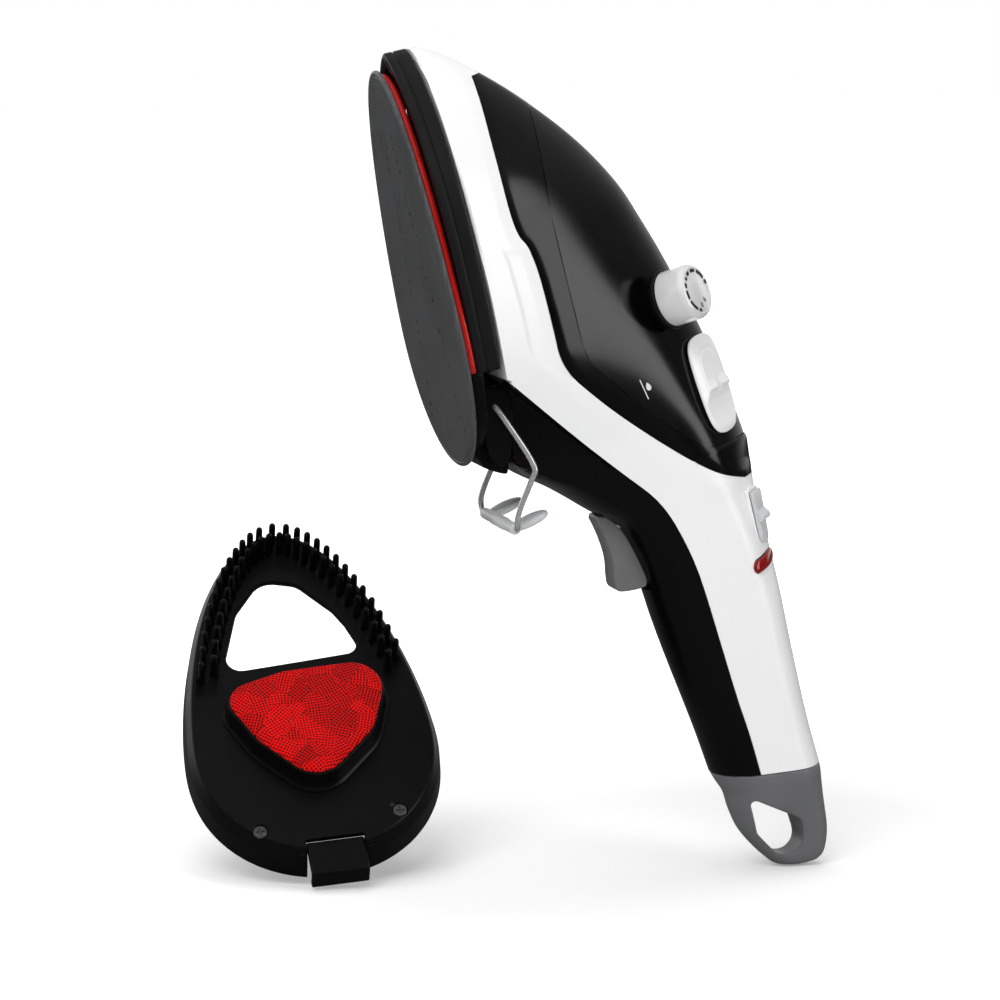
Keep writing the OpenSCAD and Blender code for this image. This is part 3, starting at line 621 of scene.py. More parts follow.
def near_curve(u, w, line):
    """Distance of each (u, w) from a polyline of (w, u) points."""
    p = np.stack([np.ravel(w), np.ravel(u)], -1)
    best = np.full(len(p), 1e9)
    for a, b in zip(line[:-1], line[1:]):
        d = b - a
        t = np.clip(((p - a) @ d) / max(d @ d, 1e-9), 0, 1)
        best = np.minimum(best, np.linalg.norm(p - a - t[:, None] * d, axis=1))
    return best.reshape(np.shape(u))


# (w, u) round the panel that is sunk into the white shells
PANEL = np.array([(137.2, -50.6), (145.2, -61.2), (152.5, -65.8), (167.5, -65.9), (188, -67.2),
                  (193.0, -68.2), (189.5, -56.0)], float)
LIP_SLOPE, LIP_WIDTH = 0.11, 5
PANEL_DEPTH, PANEL_EDGE = 0.45, 1.6


def shell_relief(u, w, trim, y):
    """Depth of the slanted lip beside the black trim, and of the panel sunk behind it."""
    lip = LIP_SLOPE * np.maximum(LIP_WIDTH - near_curve(u, w, trim), 0) * np.clip(y / 8, 0, 1)
    front = np.interp(w, PANEL[:6, 0], PANEL[:6, 1])
    (foot_w, _), (top_w, top_u) = PANEL[0], PANEL[5]
    inside = (u > front) & (w > foot_w) & (w < top_w - 0.29 * (u - top_u))
    step = smooth_step(np.clip(near_curve(u, w, PANEL) / PANEL_EDGE, 0, 1))
    return lip + np.where(inside, PANEL_DEPTH * step, 0)


def white_shell(side):
    low = seam_points(LOW_SEAM, BOTTOM, 143, SEAM / 2)
    front = pieced([(low[low[:, 0] <= 62], 90), (low[low[:, 0] >= 61.9], 90),
                    ([(143, SHELL_U), (TRIM_TOP, SHELL_U)], 90),
                    ([(TRIM_TOP, SHELL_U), (TOE, SHELL_U)], 24)])
    trim = seam_points(TRIM_SEAM, 78, TRIM_TOP, -SEAM / 2)
    start = ridge(BOTTOM, 78)
    lower = trim[trim[:, 0] <= 150]
    rear = pieced([(start, 90), (np.concatenate([start[-1:], lower]), 90),
                   (np.concatenate([lower[-1:], trim[trim[:, 0] > 150]]), 90),
                   (np.concatenate([trim[-1:], ridge(TRIM_TOP, TOE)]), 24)])
    u, w = region(front, rear, 46)
    y = half(u, w)
    y -= shell_relief(u, w, trim, y)
    return on_steamer(xyz(u, side * y, w))


WALL = 2.0
# turns (u, y, w) of one side into the other's
MIRROR = np.array([1, -1, 1])
housing = {name: thick_shell("visual_" + name, [white_shell(side)], WALL, 0.35)
           for name, side in (("housing_right", -1), ("housing_left", 1))}


def cover_grid():
    """The black front of the neck and the handle."""
    ws = np.unique(np.concatenate([np.linspace(BOTTOM, 60, 60), np.linspace(60, 112, 60),
                                   np.linspace(112, 140, 24)]))
    rows = []
    for w in ws:
        r = row_at(BODY, w)
        s = float(seam(LOW_SEAM, w)) - SEAM / 2
        f = min(max(r[0, 1] + 0.02, -76.5), s - 1.5)
        u = s - 0.9 + (f - s + 0.9) * eased(40)
        full = half_in(r, u)
        y = (np.maximum(full, 1e-3)**-14 + NECK_HALF**-14) ** (-1 / 14)
        top = half_in(r, np.array([s]))[0]
        u = np.concatenate([[s, s - 0.5], u])
        y = np.concatenate([[top, top - 0.05], y])
        left = xyz(u, y, w)
        right = left[::-1] * MIRROR
        rows.append(np.concatenate([left, right[1:] if left[-1, 1] < 0.05 else right]))
    return on_steamer(np.array([resampled(r, 96) for r in rows]))


cover = thick_shell("visual_front_cover", [cover_grid()], WALL, 0.3)
# the trigger's opening, with room for its travel
cut(cover, prism("slot", [(-56, 43.0), (-23.5, 43.0), (-23.5, 78.3), (-56, 78.3)], -7.6, 7.6, plain_steamer))
place(cover, "steamer", "black_gloss", "front_cover")


def frame_grid(side):
    trim = seam_points(TRIM_SEAM, 78.2, TRIM_TOP - 0.2, SEAM / 2)
    start = np.array([[78.2, back(78.2)[0]]])
    low = pieced([(np.concatenate([start, trim[trim[:, 0] <= 100]]), 60),
                  (trim[trim[:, 0] >= 99.5], 140)])
    tank = seam_points(TANK_SEAM, 95.5, 238, 0.0)
    first = np.array([[93.6, back(93.6)[0]], [93.9, 20], [94.6, 8]])
    high = pieced([(np.concatenate([first, tank[tank[:, 0] <= 112]]), 60),
                   (np.concatenate([tank[tank[:, 0] > 111], ridge(240.2, TRIM_TOP - 0.2, 12)]), 140)])
    u, w = region(low, high, 26)
    y = half(u, w)
    y -= 0.55 * np.clip(1 - near_curve(u, w, trim) / 4, 0, 1)**2 * np.clip(y / 8, 0, 1)
    # a raised rim below the tank
    rim = np.clip((94.5 - w) / 2, 0, 1) * np.clip(1 - near_curve(u, w, high) / 9, 0, 1)
    u = u + 0.7 * rim * np.clip((u + 10) / 30, 0, 1)
    y = y + 0.6 * rim
    return on_steamer(xyz(u, side * y, w))


trim_frame = thick_shell("visual_tank_frame", [frame_grid(-1), frame_grid(1)], 1.7, 0.3, 0.05)
place(trim_frame, "steamer", "black_gloss", "tank_frame")


def tank_grid():
    ws = np.unique(np.concatenate([np.linspace(94.2, 97, 16), np.linspace(97, 230, 130),
                                   np.linspace(230, 239.6, 20)]))
    rows = []
    for w in ws:
        b = float(back(w)[0])
        f = min(float(seam(TANK_SEAM, w)) + 0.35, b - 0.25)
        u = f + (b - f) * (1 - (1 - np.linspace(0, 1, 40))**2)
        left = xyz(u, half_in(row_at(BODY, w), u), w)
        rows.append(np.concatenate([left, left[-2::-1] * MIRROR]))
    return on_steamer(np.array(rows))


tank = thick_shell("visual_water_tank", [tank_grid()], 1.8, 0.35)
place(tank, "steamer", "tank_smoke", "water_tank")


# -------- head: plate, seal, ring

SOLE_U, SOLE_TOE, SOLE_LEN, SOLE_HALF = -93.0, 266.0, 157.0, 48.5
SHIELD_END = 150.0


WIDEST_AT = 0.67


def iron_half(p):
    """Half width of an iron shape, against its widest, at a share p of the way from toe to heel."""
    to_toe = np.maximum(1 - p / WIDEST_AT, 0)**1.6
    to_heel = np.maximum((p - WIDEST_AT) / (1 - WIDEST_AT), 0)**2.2
    return np.sqrt(np.maximum(1 - np.where(p < WIDEST_AT, to_toe, to_heel), 0))


def iron_outline(toe, length, wide, n):
    """Iron-shaped loop of (y, w), anticlockwise."""
    p = eased(n)
    y = wide * iron_half(p)
    w = toe - p * length
    loop = np.concatenate([np.stack([-y, w], -1), np.stack([y, w], -1)[::-1][1:-1]])
    return resampled(loop, n, closed=True)


def at_u(u, loop):
    """A loop of (y, w) at one u."""
    return xyz(u, loop[:, 0], loop[:, 1])


def head_ring(profile, n=240):
    """Loops of the plate's outline; profile rows are (inset, u)."""
    base = iron_outline(SOLE_TOE, SOLE_LEN, SOLE_HALF, n)
    loops = []
    for inset, u in profile:
        q = inset_loop(base, inset) if inset < 12 else iron_outline(
            SOLE_TOE - 1.4 * inset, SOLE_LEN - 2.2 * inset, SOLE_HALF - inset, n)
        loops.append(at_u(u, q))
    return plain_steamer(np.array(loops))


def swept(name, path, profile):
    """A closed profile of (inset, u) points run along an open path of (y, w)."""
    inwards = left_of(unit(np.gradient(path, axis=0)))
    return loops_mesh(name, plain_steamer(np.stack([at_u(u, path + d * inwards) for d, u in profile], 1)))


def round_bar(name, radius, at, direction, reach, sides=24):
    """A plain round cutter, centred on a point of the upright steamer."""
    d = unit(np.asarray(direction, float)) * reach
    return tube(name, np.array([at - d, at + d]), radius, sides, plain_steamer)


plate = loops_mesh("visual_soleplate", head_ring([(inset, SOLE_U + behind) for inset, behind in (
    (10, 0), (2.5, 0), (2.3, 0.22), (1.9, 0.22), (1.7, 0), (1.0, 0.02), (0.5, 0.15), (0.1, 0.5),
    (0, 1.0), (0.15, 1.5), (0.6, 1.8), (7, 1.8), (7, 4.4))]))
# five slanted rows of four steam holes on each side
VENT_RADIUS, VENT_DEPTH = 1.1, 2.5
vents = [round_bar("vent", VENT_RADIUS, (SOLE_U, side * (5 + 4.2 * k + 1.2 * i), 240 - 25 * k - 4.5 * i),
                   (1, 0, 0), VENT_DEPTH, 16)
         for k in range(5) for side in (-1, 1) for i in range(4)]
groove = [prism("groove", [(SOLE_U - 1, -0.45), (SOLE_U + 0.35, 0), (SOLE_U - 1, 0.45)], 0, 29,
                lambda p, s=s: plain_steamer(xyz(
                    p[..., 0], s * (0.3 + p[..., 1] * 0.21) + p[..., 2], 139.0 - p[..., 1])))
          for s in (-1, 1)]
cut(plate, joined("vents", *vents), *groove)
plate.data.set_sharp_from_angle(angle=math.radians(30))
applied(plate, ("WEIGHTED_NORMAL", dict(keep_sharp=True)))
place(plate, "steamer", "plate_metal", "soleplate")

outline = iron_outline(SOLE_TOE, SOLE_LEN, SOLE_HALF, 720)
start = int(np.argmin(np.abs(outline[:, 1] - SHIELD_END) + 1000 * (outline[:, 0] < 0)))
turned_loop = np.roll(outline, -start, 0)
toe_part = turned_loop[turned_loop[:, 1] >= SHIELD_END]
heel_part = turned_loop[turned_loop[:, 1] < SHIELD_END - 0.4]

seal = swept("visual_plate_seal", toe_part[::2],
             [(5.6, -91.05), (2.7, -91.05), (2.15, -90.7), (2.0, -90.0), (2.0, -89.4),
              (2.2, -88.7), (2.7, -88.35), (5.6, -88.35)])
place(seal, "steamer", "seal_red", "plate_seal")

ws = SHIELD_END + (272 - SHIELD_END) * np.sin(np.linspace(0, math.pi / 2, 120))
right = np.stack([row_at(BODY, ws)[:, 2] - 0.2, ws - 0.4], -1)
bezel_path = resampled(np.concatenate([right, right[-2::-1] * np.array([-1, 1])]), 300)
shield = swept(
    "visual_heat_shield", bezel_path,
    [(4.5, -87.9), (0.9, -87.9), (0.3, -87.7), (0.0, -87.2), (0.0, -84.7), (0.1, -84.5),
     (0.5, -84.35), (0.5, -83.85), (0.1, -83.7), (0.0, -83.5), (0.0, -79.2),
     (0.15, -78.8), (0.55, -78.45), (4.5, -78.4)])
place(shield, "steamer", "shield_grey", "heat_shield")

# black heel behind the plate, with the ears that hold the stand
heel_rim = swept("heel_rim", heel_part[::2],
                 [(12, -91.0), (3.1, -91.0), (2.6, -90.6), (2.5, -86.4), (2.9, -85.9), (12, -85.9)])
block = applied(prism("block", smoothed([
    (-90.5, 111.5), (-83, 106.3), (-77.1, 104.2), (-77.1, 147),
    (-90.5, 147)], 2), -22, 22, plain_steamer), bevelled(0.8))
ear = smoothed([(-86.5, 110), (-86.5, 138.5), (-82, 140.6), (-75, 139.6), (-72.4, 136),
                (-73.9, 125), (-78.5, 109)], 2)
ears = [applied(prism("ear", ear, lo, hi, plain_steamer), bevelled(0.7))
        for lo, hi in ((-26.8, -20), (20, 26.8))]
heel = joined("visual_heel_block", heel_rim, block, *ears)
place(heel, "steamer", "black_matte", "heel_block")

# -------- end cap and gland

def cap_loops():
    ws = np.concatenate([np.linspace(-82, -78, 10), np.linspace(-77.5, -39.2, 60)])
    loops = []
    for w in ws:
        r = row_at(CAP, w)
        u = r[0, 3] + (r[0, 1] - r[0, 3]) * eased(60)
        left = np.stack([u, half_in(r, u)], -1)
        loop = np.concatenate([left, left[-2:0:-1] * np.array([1, -1])])
        loops.append(with_z(resampled(loop, 120, closed=True), w))
    return np.array(loops)


GLAND_AT = np.array([21.0, 12.0, -50.0])
GLAND_TURN = rotation("Z", -45) @ rotation("X", 90)


def in_gland(p):
    """Local Z runs inwards from the gland's mouth."""
    return plain_steamer(np.asarray(p, float) @ GLAND_TURN.T + GLAND_AT)


def turned_ring(name, profile, to, sides=64):
    """A turned ring from a closed profile of (radius, height) points."""
    loops = np.array([with_z(r * circle(sides), z) for r, z in list(profile) + [profile[0]]])
    return closed_normals(welded(add(name, to(loops), grid_faces(len(loops), sides, wrap=True))))


cap = loops_mesh("visual_end_cap", on_steamer(cap_loops()))
hole = hull_of_circles([(4.8, -68.8, 7.1), (7.5, -64.5, 4.3), (-1.8, -62.5, 4.9), (-6.2, -51.2, 1.7)], 160)
bore = turned("bore", [(6.0, -14), (6.0, 12)], in_gland, 48)
cut(cap, prism("hole", hole, -30, 30, plain_steamer), bore)
applied(cap, ("REMESH", dict(mode="VOXEL", voxel_size=0.55 * MM, use_smooth_shade=True)),
        ("CORRECTIVE_SMOOTH", dict(factor=0.5, iterations=6, use_only_smooth=True)))
smooth_all(cap)
place(cap, "steamer", "grey_plastic", "end_cap")

gland = turned_ring("visual_cord_gland", [
    (3.5, 11.6), (5.8, 11.6), (5.8, 0.6), (6.1, 0.4), (6.1, -1.2), (5.8, -1.6), (5.2, -1.8),
    (4.2, -1.8), (3.7, -1.5), (3.5, -1.0)], in_gland)
place(gland, "steamer", "black_matte", "cord_gland")


# -------- screws

def screw_head(name, to, radius, low, high):
    """A domed head with a cross recess, on a short shank."""
    head = turned(name, [
        (radius * 0.45, low - 5.5), (radius * 0.45, low - 0.1), (radius, low),
        (radius, high - 0.35), (radius * 0.93, high - 0.12),
        (radius * 0.7, high), (0.3, high)], to, 40)
    recess = [(-radius * 0.62, high - 0.55), (radius * 0.62, high - 0.55),
              (radius * 0.7, high + 1), (-radius * 0.7, high + 1)]
    return cut(head, prism("recess", recess, -0.3, 0.3, to),
               prism("recess", recess, -0.3, 0.3, lambda p: to(xyz(-p[..., 1], p[..., 0], p[..., 2]))))


case_screws, cups = [], []
for u, w in ((15.0, -29.0), (10.0, 42.0)):
    spot = lambda p, u=u, w=w: plain_steamer(xyz(u + p[..., 0], p[..., 2], w - p[..., 1]))
    case_screws.append(screw_head("screw", spot, 2.6, 16.45, 17.3))
    y = float(half(u, w))
    cut(housing["housing_left"], turned("well", [(2.85, 16.3), (2.85, 24)], spot, 40))
    cups.append(turned_ring("cup", [(2.8, 15.8), (3.6, 15.8), (3.6, y - 1.2), (3.6, y - 0.6),
                                    (2.8, y - 0.6)], spot, 40))
for name, ob in housing.items():
    place(ob, "steamer", "white_gloss", name)
place(joined("visual_housing_screws", *case_screws), "steamer", "screw_steel", "housing_screws")
place(joined("screw_wells", *cups), "steamer", "white_gloss")

# -------- stand

one_side = np.array([
    (-80, -21.5, 133), (-80, -26, 133), (-80, -28, 132.6), (-78.6, -28, 130),
    (-68.9, -28, 106.2), (-71, -28, 102.8), (-79.9, -28, 90.5),
    (-81, -27.6, 86), (-81, -25.4, 83.5), (-81, -20, 83.5)], float)
wire_path = np.concatenate([one_side, one_side[::-1] * MIRROR])
wire = tube("visual_stand_wire", resampled(smoothed(wire_path, 3, closed=False), 260), 1.15, 20,
            plain_steamer)
place(wire, "stand", "wire_steel", "stand_wire")

sleeve = turned("sleeve", [(0.96, -23), (1.9, -23), (2.2, -22.6), (2.3, -21.8), (2.3, -8), (2.55, -7.4),
                           (2.55, 7.4), (2.3, 8), (2.3, 21.8), (2.2, 22.6), (1.9, 23), (0.96, 23)],
                lambda p: plain_steamer(xyz(-81 + p[..., 0], p[..., 2], 83.5 + p[..., 1])), 40)


def paddle(side):
    """A flat oval foot that points forwards from the sleeve."""
    c, s = circle(64).T
    loops = []
    for z in np.sin(np.linspace(-1.5, 1.5, 15)):
        grow = math.sqrt(max(1 - abs(z)**2.6, 0.0004))
        loops.append(xyz((0.4 + 8.2 * c) * grow, (4.6 + 0.9 * c) * s * grow, 2.3 * z))
    tip = rotation("Y", -12)
    base = np.array([-74.6, side * 18.5, 84.4])
    return loops_mesh("paddle", plain_steamer(np.array(loops) @ tip.T + base))


place(joined("visual_stand_foot", sleeve, paddle(-1), paddle(1)), "stand", "grey_plastic", "stand_foot",
      look="light_grey")

# -------- trigger

trigger_side = smoothed([
    (-45.3, 77.2), (-43.2, 70), (-42.0, 63), (-41.6, 57), (-42.7, 50.5),
    (-42.8, 46.6), (-40.8, 44.8), (-31, 44.2), (-29.2, 46), (-29.2, 56),
    (-32, 66), (-33.4, 70), (-34.2, 74), (-37, 75.4)], 2)
trigger = applied(prism("visual_trigger", trigger_side, -6.95, 6.95, plain_steamer), bevelled(1.1, 4, 40))
smooth_all(trigger)
place(trigger, "trigger_body", "trigger_grey", "trigger")

# -------- knob

on_knob = shoulder_frame(155, 18.5, 80)
collar = turned_ring("visual_knob_collar", [
    (3.1, -6.5), (9.0, -6.5), (9.0, 2.6), (9.4, 3.2), (11.2, 3.4), (11.8, 3.7), (11.95, 4.1),
    (11.95, 5.0), (11.8, 5.4), (11.5, 5.55), (3.1, 5.55)], on_knob, 96)
place(collar, "steamer", "black_matte", "knob_collar")
skirt = turned("skirt", [
    (2.9, 5.8), (10.3, 5.8), (10.75, 6.0), (10.9, 6.4), (10.9, 16.2), (10.8, 16.9),
    (10.5, 17.6), (10.0, 18.25), (9.5, 18.6), (9.1, 18.75), (8.85, 18.7),
    (8.7, 18.45), (0.3, 18.45)], on_knob, 120)
place(skirt, "knob", "silver_knob", "steam_knob")
skirt.name = "visual_steam_knob"
face = turned("knob_face", [(0.2, 18.3), (8.6, 18.3), (8.6, 18.5), (8.4, 18.62), (0.2, 18.66)],
              on_knob, 96)
place(face, "knob", "silver_knob")


def arc_mark(radius, width, start, end, low, high, to, n=14):
    """A raised mark along an arc, with square ends."""
    inner, outer = radius - width / 2, radius + width / 2
    section = ((inner, low), (inner, high), (outer, high), (outer, low))
    loops = [[(r * math.cos(q), r * math.sin(q), z) for r, z in section]
             for q in np.radians(np.linspace(start, end, n))]
    return loops_mesh("mark", to(np.array(loops)), smooth=False)


dashes = [arc_mark(7.9, 1.2, a, a + long, 18.6, 18.76, on_knob)
          for a, long in ((96, 12), (116, 34), (160, 24), (194, 14), (216, 10), (236, 14), (258, 24),
                          (290, 36), (334, 12))]
place(joined("knob_dashes", *dashes), "knob", None, look="mark_black")
drops = [arc_mark(r, 1.9, a, a + 15, 18.6, 18.74, on_knob) for r, a in ((5.9, -12), (5.2, 24))]
place(joined("knob_symbols", *drops), "knob", None, look="mark_grey")

# -------- filler cover

on_filler = shoulder_frame(117, 11, 82)


def outline_loops(outline, rows):
    """Loops of one outline; rows are (inset, height). Large insets shrink towards the middle."""
    centre = outline.mean(0)
    reach = np.linalg.norm(outline - centre, axis=1).min()
    return np.array([with_z(centre + (outline - centre) * max(1 - inset / reach, 0.02), z)
                     for inset, z in rows])


pebble = smoothed([(-20.6, -6.6), (-20.6, 5.4), (-17, 9.4), (-8, 10.4), (6, 10.2), (14, 9.2), (18.6, 5.6),
                   (19.2, -4.4), (16.4, -9.8), (8, -11.9), (-8, -12.0), (-17, -10.8)][::-1], 2)
pebble = resampled(pebble, 200, closed=True)
insets = np.concatenate([[0.5, 0.12, 0.0, 0.0, 0.12], np.linspace(0.4, 2.6, 7), np.linspace(2.9, 9.0, 26)])
heights = np.concatenate([[0.5, 0.7, 1.0, 1.5, 1.8], np.linspace(2.0, 3.1, 7), np.full(26, 9.0)])
rows = outline_loops(pebble, zip(insets, heights))
# along the cover: a raised oval, a ridge for the thumb, a scoop and a lip
top_line = np.interp(rows[..., 0], [-21, -17, -12, -3, -0.8, 0.6, 2.0, 5, 9, 13, 16, 21],
                     [2.3, 3.2, 3.55, 3.6, 4.2, 4.65, 3.4, 2.35, 1.95, 2.1, 2.5, 2.0])
dip = 0.45 * np.exp(-((insets[:, None] - 3.1) / 0.35)**2) * (rows[..., 0] < -1)
rows[..., 2] = np.minimum(rows[..., 2], top_line - dip)
cover_body = loops_mesh("visual_filler_cover", on_filler(rows))
place(cover_body, "filler", "white_gloss", "filler_cover")

# -------- slider and lamp

on_slider = shoulder_frame(62, 12, 90, -37)
lobe = hull_of_circles([(-9.6, 4.4, 0.9), (-9.6, -3.2, 0.9), (7.4, 0.6, 3.6)], 140)
plate_rows = outline_loops(lobe, [(0.3, 0.6), (0, 0.8), (0, 1.9), (0.2, 2.2), (0.6, 2.35), (1.6, 2.4)])
slider = [loops_mesh("slider", on_slider(plate_rows))]
bar = [(-3.2, 2.2), (-2.0, 3.0), (-0.8, 4.2), (0.3, 4.6), (1.3, 4.3), (1.8, 3.3), (2.1, 2.2)]
slider.append(applied(prism("bar", bar, -3.4, 4.6, on_slider), bevelled(0.35)))
place(joined("visual_switch_slider", *slider), "slider", "light_grey", "switch_slider")
well_line = hull_of_circles([(-10.6, 4.9, 0.9), (-10.6, -3.7, 0.9), (10.0, 0.6, 4.0)], 140)
frame_rows = outline_loops(well_line, [
    (1.2, -1.4), (0, -1.4), (-0.1, 0.2), (0.1, 0.42), (0.4, 0.45),
    (0.6, 0.3), (0.7, 0.0), (1.6, -0.05), (3.0, -0.05)])
place(loops_mesh("slider_frame", on_slider(frame_rows)), "steamer", "white_gloss")


# The lamp bends round the handle's side: places on the skin, as y, u and w, one end to the other
LAMP_LINE = smoothed([(-19.15, 10.4, 43.2), (-18.6, 12.6, 43.6), (-16.8, 15.4, 44.1), (-14.0, 17.9, 44.6),
                      (-10.6, 20.0, 45.0), (-6.3, 22.0, 45.4)], 3, closed=False)
LAMP_HALF = 2.6


def lamp_shell(grow, low, high):
    """A pill that follows the handle's side, with a domed top."""
    line = resampled(LAMP_LINE, 40)
    tangent = unit(np.gradient(line, axis=0))
    run = np.linspace(-1, 1, len(line))
    length = np.linalg.norm(np.diff(line, axis=0), axis=1).sum() / 2 + grow
    v = np.cos(np.linspace(math.pi, 0, 17))
    loops = []
    for f in np.sin(run * 1.5):
        y, u, w = [np.interp(f, run, line[:, k]) for k in range(3)]
        step = np.array([np.interp(f, run, tangent[:, k]) for k in range(2)])
        out_y, out_u = unit(left_of(step))
        reach = max(abs(f) * length - (length - LAMP_HALF), 0) / LAMP_HALF
        wide = (LAMP_HALF + grow) * math.sqrt(max(1 - reach**2, 0.002))
        dome = low + (high - low) * np.sqrt(np.maximum(1 - v**4, 0)) * min(1, wide / 1.6)
        top, base = [xyz(u + out_u * out, y + out_y * out, w + wide * v) for out in (dome, -1.6)]
        loops.append(np.concatenate([top, base[::-1]]))
    return np.array(loops)


lamp = loops_mesh("visual_pilot_lamp", plain_steamer(lamp_shell(0.0, 0.1, 1.1)))
place(lamp, "steamer", "lamp_red", "pilot_lamp")
socket = loops_mesh("lamp_socket", plain_steamer(lamp_shell(0.35, -0.2, 0.12)))
place(socket, "steamer", "black_matte")

# -------- marks on the tank

def skin_mark(name, outline, lift=0.07, thick=0.12):
    """A thin raised mark of (u, w) points that follows the right side's skin."""
    centre = outline.mean(0)
    loops = []
    for shrink, out in ((1, lift - thick), (1, lift), (0.96, lift + 0.01)):
        u, w = (centre + (outline - centre) * shrink).T
        loops.append(xyz(u, -(half(u, w) + out), w))
    return loops_mesh(name, on_steamer(np.array(loops)), smooth=False)


# the line's two ends, and a drop beside it drawn by steps along and across the line
top, foot = np.array([-21.6, 129.0]), np.array([-19.4, 120.6])
along = unit(foot - top)
across = left_of(along)
line = [top - across * 0.2, foot - across * 0.2, foot + across * 0.2, top + across * 0.2]
drop = [(top + foot) / 2 + across * (2.1 + y) + along * x for x, y in (
    (-2.2, 0), (-0.6, 0.9), (0.4, 1.15), (1.3, 0.7), (1.5, 0), (1.3, -0.7), (0.4, -1.15), (-0.6, -0.9))]
marks = [resampled(o, 40, closed=True) for o in (line, smoothed(drop, 2))]
place(joined("level_mark", *[skin_mark("mark", o) for o in marks]), "steamer", None,
      look="mark_white")

# -------- brush

BRUSH_TOE, BRUSH_LEN, BRUSH_HALF = 79.0, 157.0, 48.0
WINDOW = hull_of_circles([(-4.6, 45.8, 9.4), (1, 44.8, 8.8), (20.2, 19.8, 5), (-21.6, 18.8, 6.2),
                          (-15.4, 31, 7.9), (-12.5, 37, 8.8), (11.2, 32.5, 8.6), (15.5, 27, 7.2)], 360)
WINDOW_AT = np.array([-1.0, 30.0])


def window_loop(rim, grow):
    """The window's outline, with one point for each point of the rim."""
    q = WINDOW - WINDOW_AT
    angle = np.arctan2(q[:, 1], q[:, 0])
    order = np.argsort(angle)
    angle, far = angle[order], np.linalg.norm(q, axis=1)[order]
    angle = np.concatenate([angle - 2 * math.pi, angle, angle + 2 * math.pi])
    far = np.tile(far, 3)
    d = rim - WINDOW_AT
    t = np.arctan2(d[:, 1], d[:, 0])
    r = np.interp(t, angle, far) + grow
    return WINDOW_AT + np.stack([r * np.cos(t), r * np.sin(t)], -1)


rim = iron_outline(BRUSH_TOE, BRUSH_LEN, BRUSH_HALF, 420)
# where the channel for the bristles fades out, away from the toe
arch_here = smooth_step(np.clip((rim[:, 1] - 2.0) / 7.0, 0, 1))
loops = [with_z(window_loop(rim, grow), z)
         for grow, z in ((0.0, -2.4), (0.0, -0.9), (0.15, -0.4), (0.5, -0.1), (1.1, 0.0))]
inner = inset_loop(rim, 11.3)
loops.append(with_z(window_loop(rim, 1.1) * 0.4 + inner * 0.6, 0.0))
for inset, z, channel in (
    (11.3, 0.0, 0), (10.9, 0.0, 0.12), (10.6, 0.0, 0.10), (10.3, 0.0, -0.55),
    (6.5, 0.0, -0.6), (2.5, 0.0, -0.55), (2.2, 0.0, 0.10), (1.9, 0.0, 0.12),
    (1.6, 0.0, 0), (1.0, -0.06, 0), (0.5, -0.3, 0), (0.0, -1.0, 0), (-0.35, -2.0, 0),
    (-1.8, -5.0, 0), (-2.1, -6.2, 0), (-2.9, -15.3, 0), (-2.8, -15.8, 0),
    (-2.4, -16.0, 0), (-1.0, -16.0, 0), (-0.6, -15.6, 0), (-0.5, -6.0, 0),
    (0.8, -3.0, 0), (2.0, -2.4, 0), (11.3, -2.4, 0)):
    loops.append(with_z(inset_loop(rim, inset), z + channel * arch_here))
loops.append(with_z(window_loop(rim, 1.1) * 0.5 + inner * 0.5, -2.4))
loops.append(loops[0])
loops = np.array(loops)
brush = closed_normals(welded(add(
    "visual_brush_frame", on_brush(loops),
    grid_faces(len(loops), loops.shape[1], wrap=True))))
applied(brush, ("WEIGHTED_NORMAL", dict(keep_sharp=False)))


def slab(name, x, y, z, bevel=0.5):
    """A block with rounded edges in the brush's frame."""
    ob = prism(name, [(x[0], z[0]), (x[1], z[0]), (x[1], z[1]), (x[0], z[1])], y[0], y[1], on_brush)
    return applied(ob, bevelled(bevel, 4)) if bevel else ob


# middle of the latch's pin, in the brush's frame
PIN_X, PIN_Y, PIN_Z = 0.5, -75.0, -3.4
TAB_HALF, NOTCH_HALF, LUG_AT, PIN_HALF = 11.45, 11.7, 13.4, 14.4
cut(brush, slab("notch", (PIN_X - NOTCH_HALF, PIN_X + NOTCH_HALF), (-96, -72.5), (-20, 4), 0))
at_spots = [lambda p, s=s: on_brush(p + np.array(s)) for s in ((-28, -66, 0.0), (28, -64, 0.0))]
cut(brush, *[turned("bore", [(3.2, -1.2), (3.2, 3)], at, 40) for at in at_spots])
lugs = [slab("lug", (x - 1.6, x + 1.6), (PIN_Y - 3, PIN_Y + 3), (-6.0, -2.6), 0.4)
        for x in (PIN_X - LUG_AT, PIN_X + LUG_AT)]
lugs += [turned("boss", [(1.6, -7.5), (3.4, -7.5), (3.4, -1.9), (1.6, -1.9)], at, 40) for at in at_spots]
place(joined("visual_brush_frame", brush, *lugs), "brush", "brush_black", "brush_frame")

heads = [screw_head("head", at, 2.8, -1.15, -0.1) for at in at_spots]
place(joined("visual_brush_screws", *heads), "brush", "screw_steel", "brush_screws")

tab_side = [(-72.8, -1.7), (-86.3, -1.7), (-88.0, -2.3), (-88.45, -3.8), (-88.45, -10.6),
            (-85.6, -10.6), (-85.6, -4.7), (-72.8, -4.7)]
tab = applied(prism("tab", tab_side, PIN_X - TAB_HALF, PIN_X + TAB_HALF,
                    lambda p: on_brush(p[..., [1, 0, 2]])), bevelled(0.6, 4, 25))
pin = tube("pin", [(PIN_X - PIN_HALF, PIN_Y, PIN_Z), (PIN_X + PIN_HALF, PIN_Y, PIN_Z)], 1.2, 20, on_brush)
place(joined("visual_brush_latch", tab, pin), "latch", "brush_black", "brush_latch")

# -------- bristles and lint pad

def rim_point(t):
    """A place on the brush's rim round the toe, from t = -1 to 1."""
    p = 0.46 * abs(t)**1.5
    return np.array([math.copysign(BRUSH_HALF * iron_half(p), t), BRUSH_TOE - p * BRUSH_LEN])


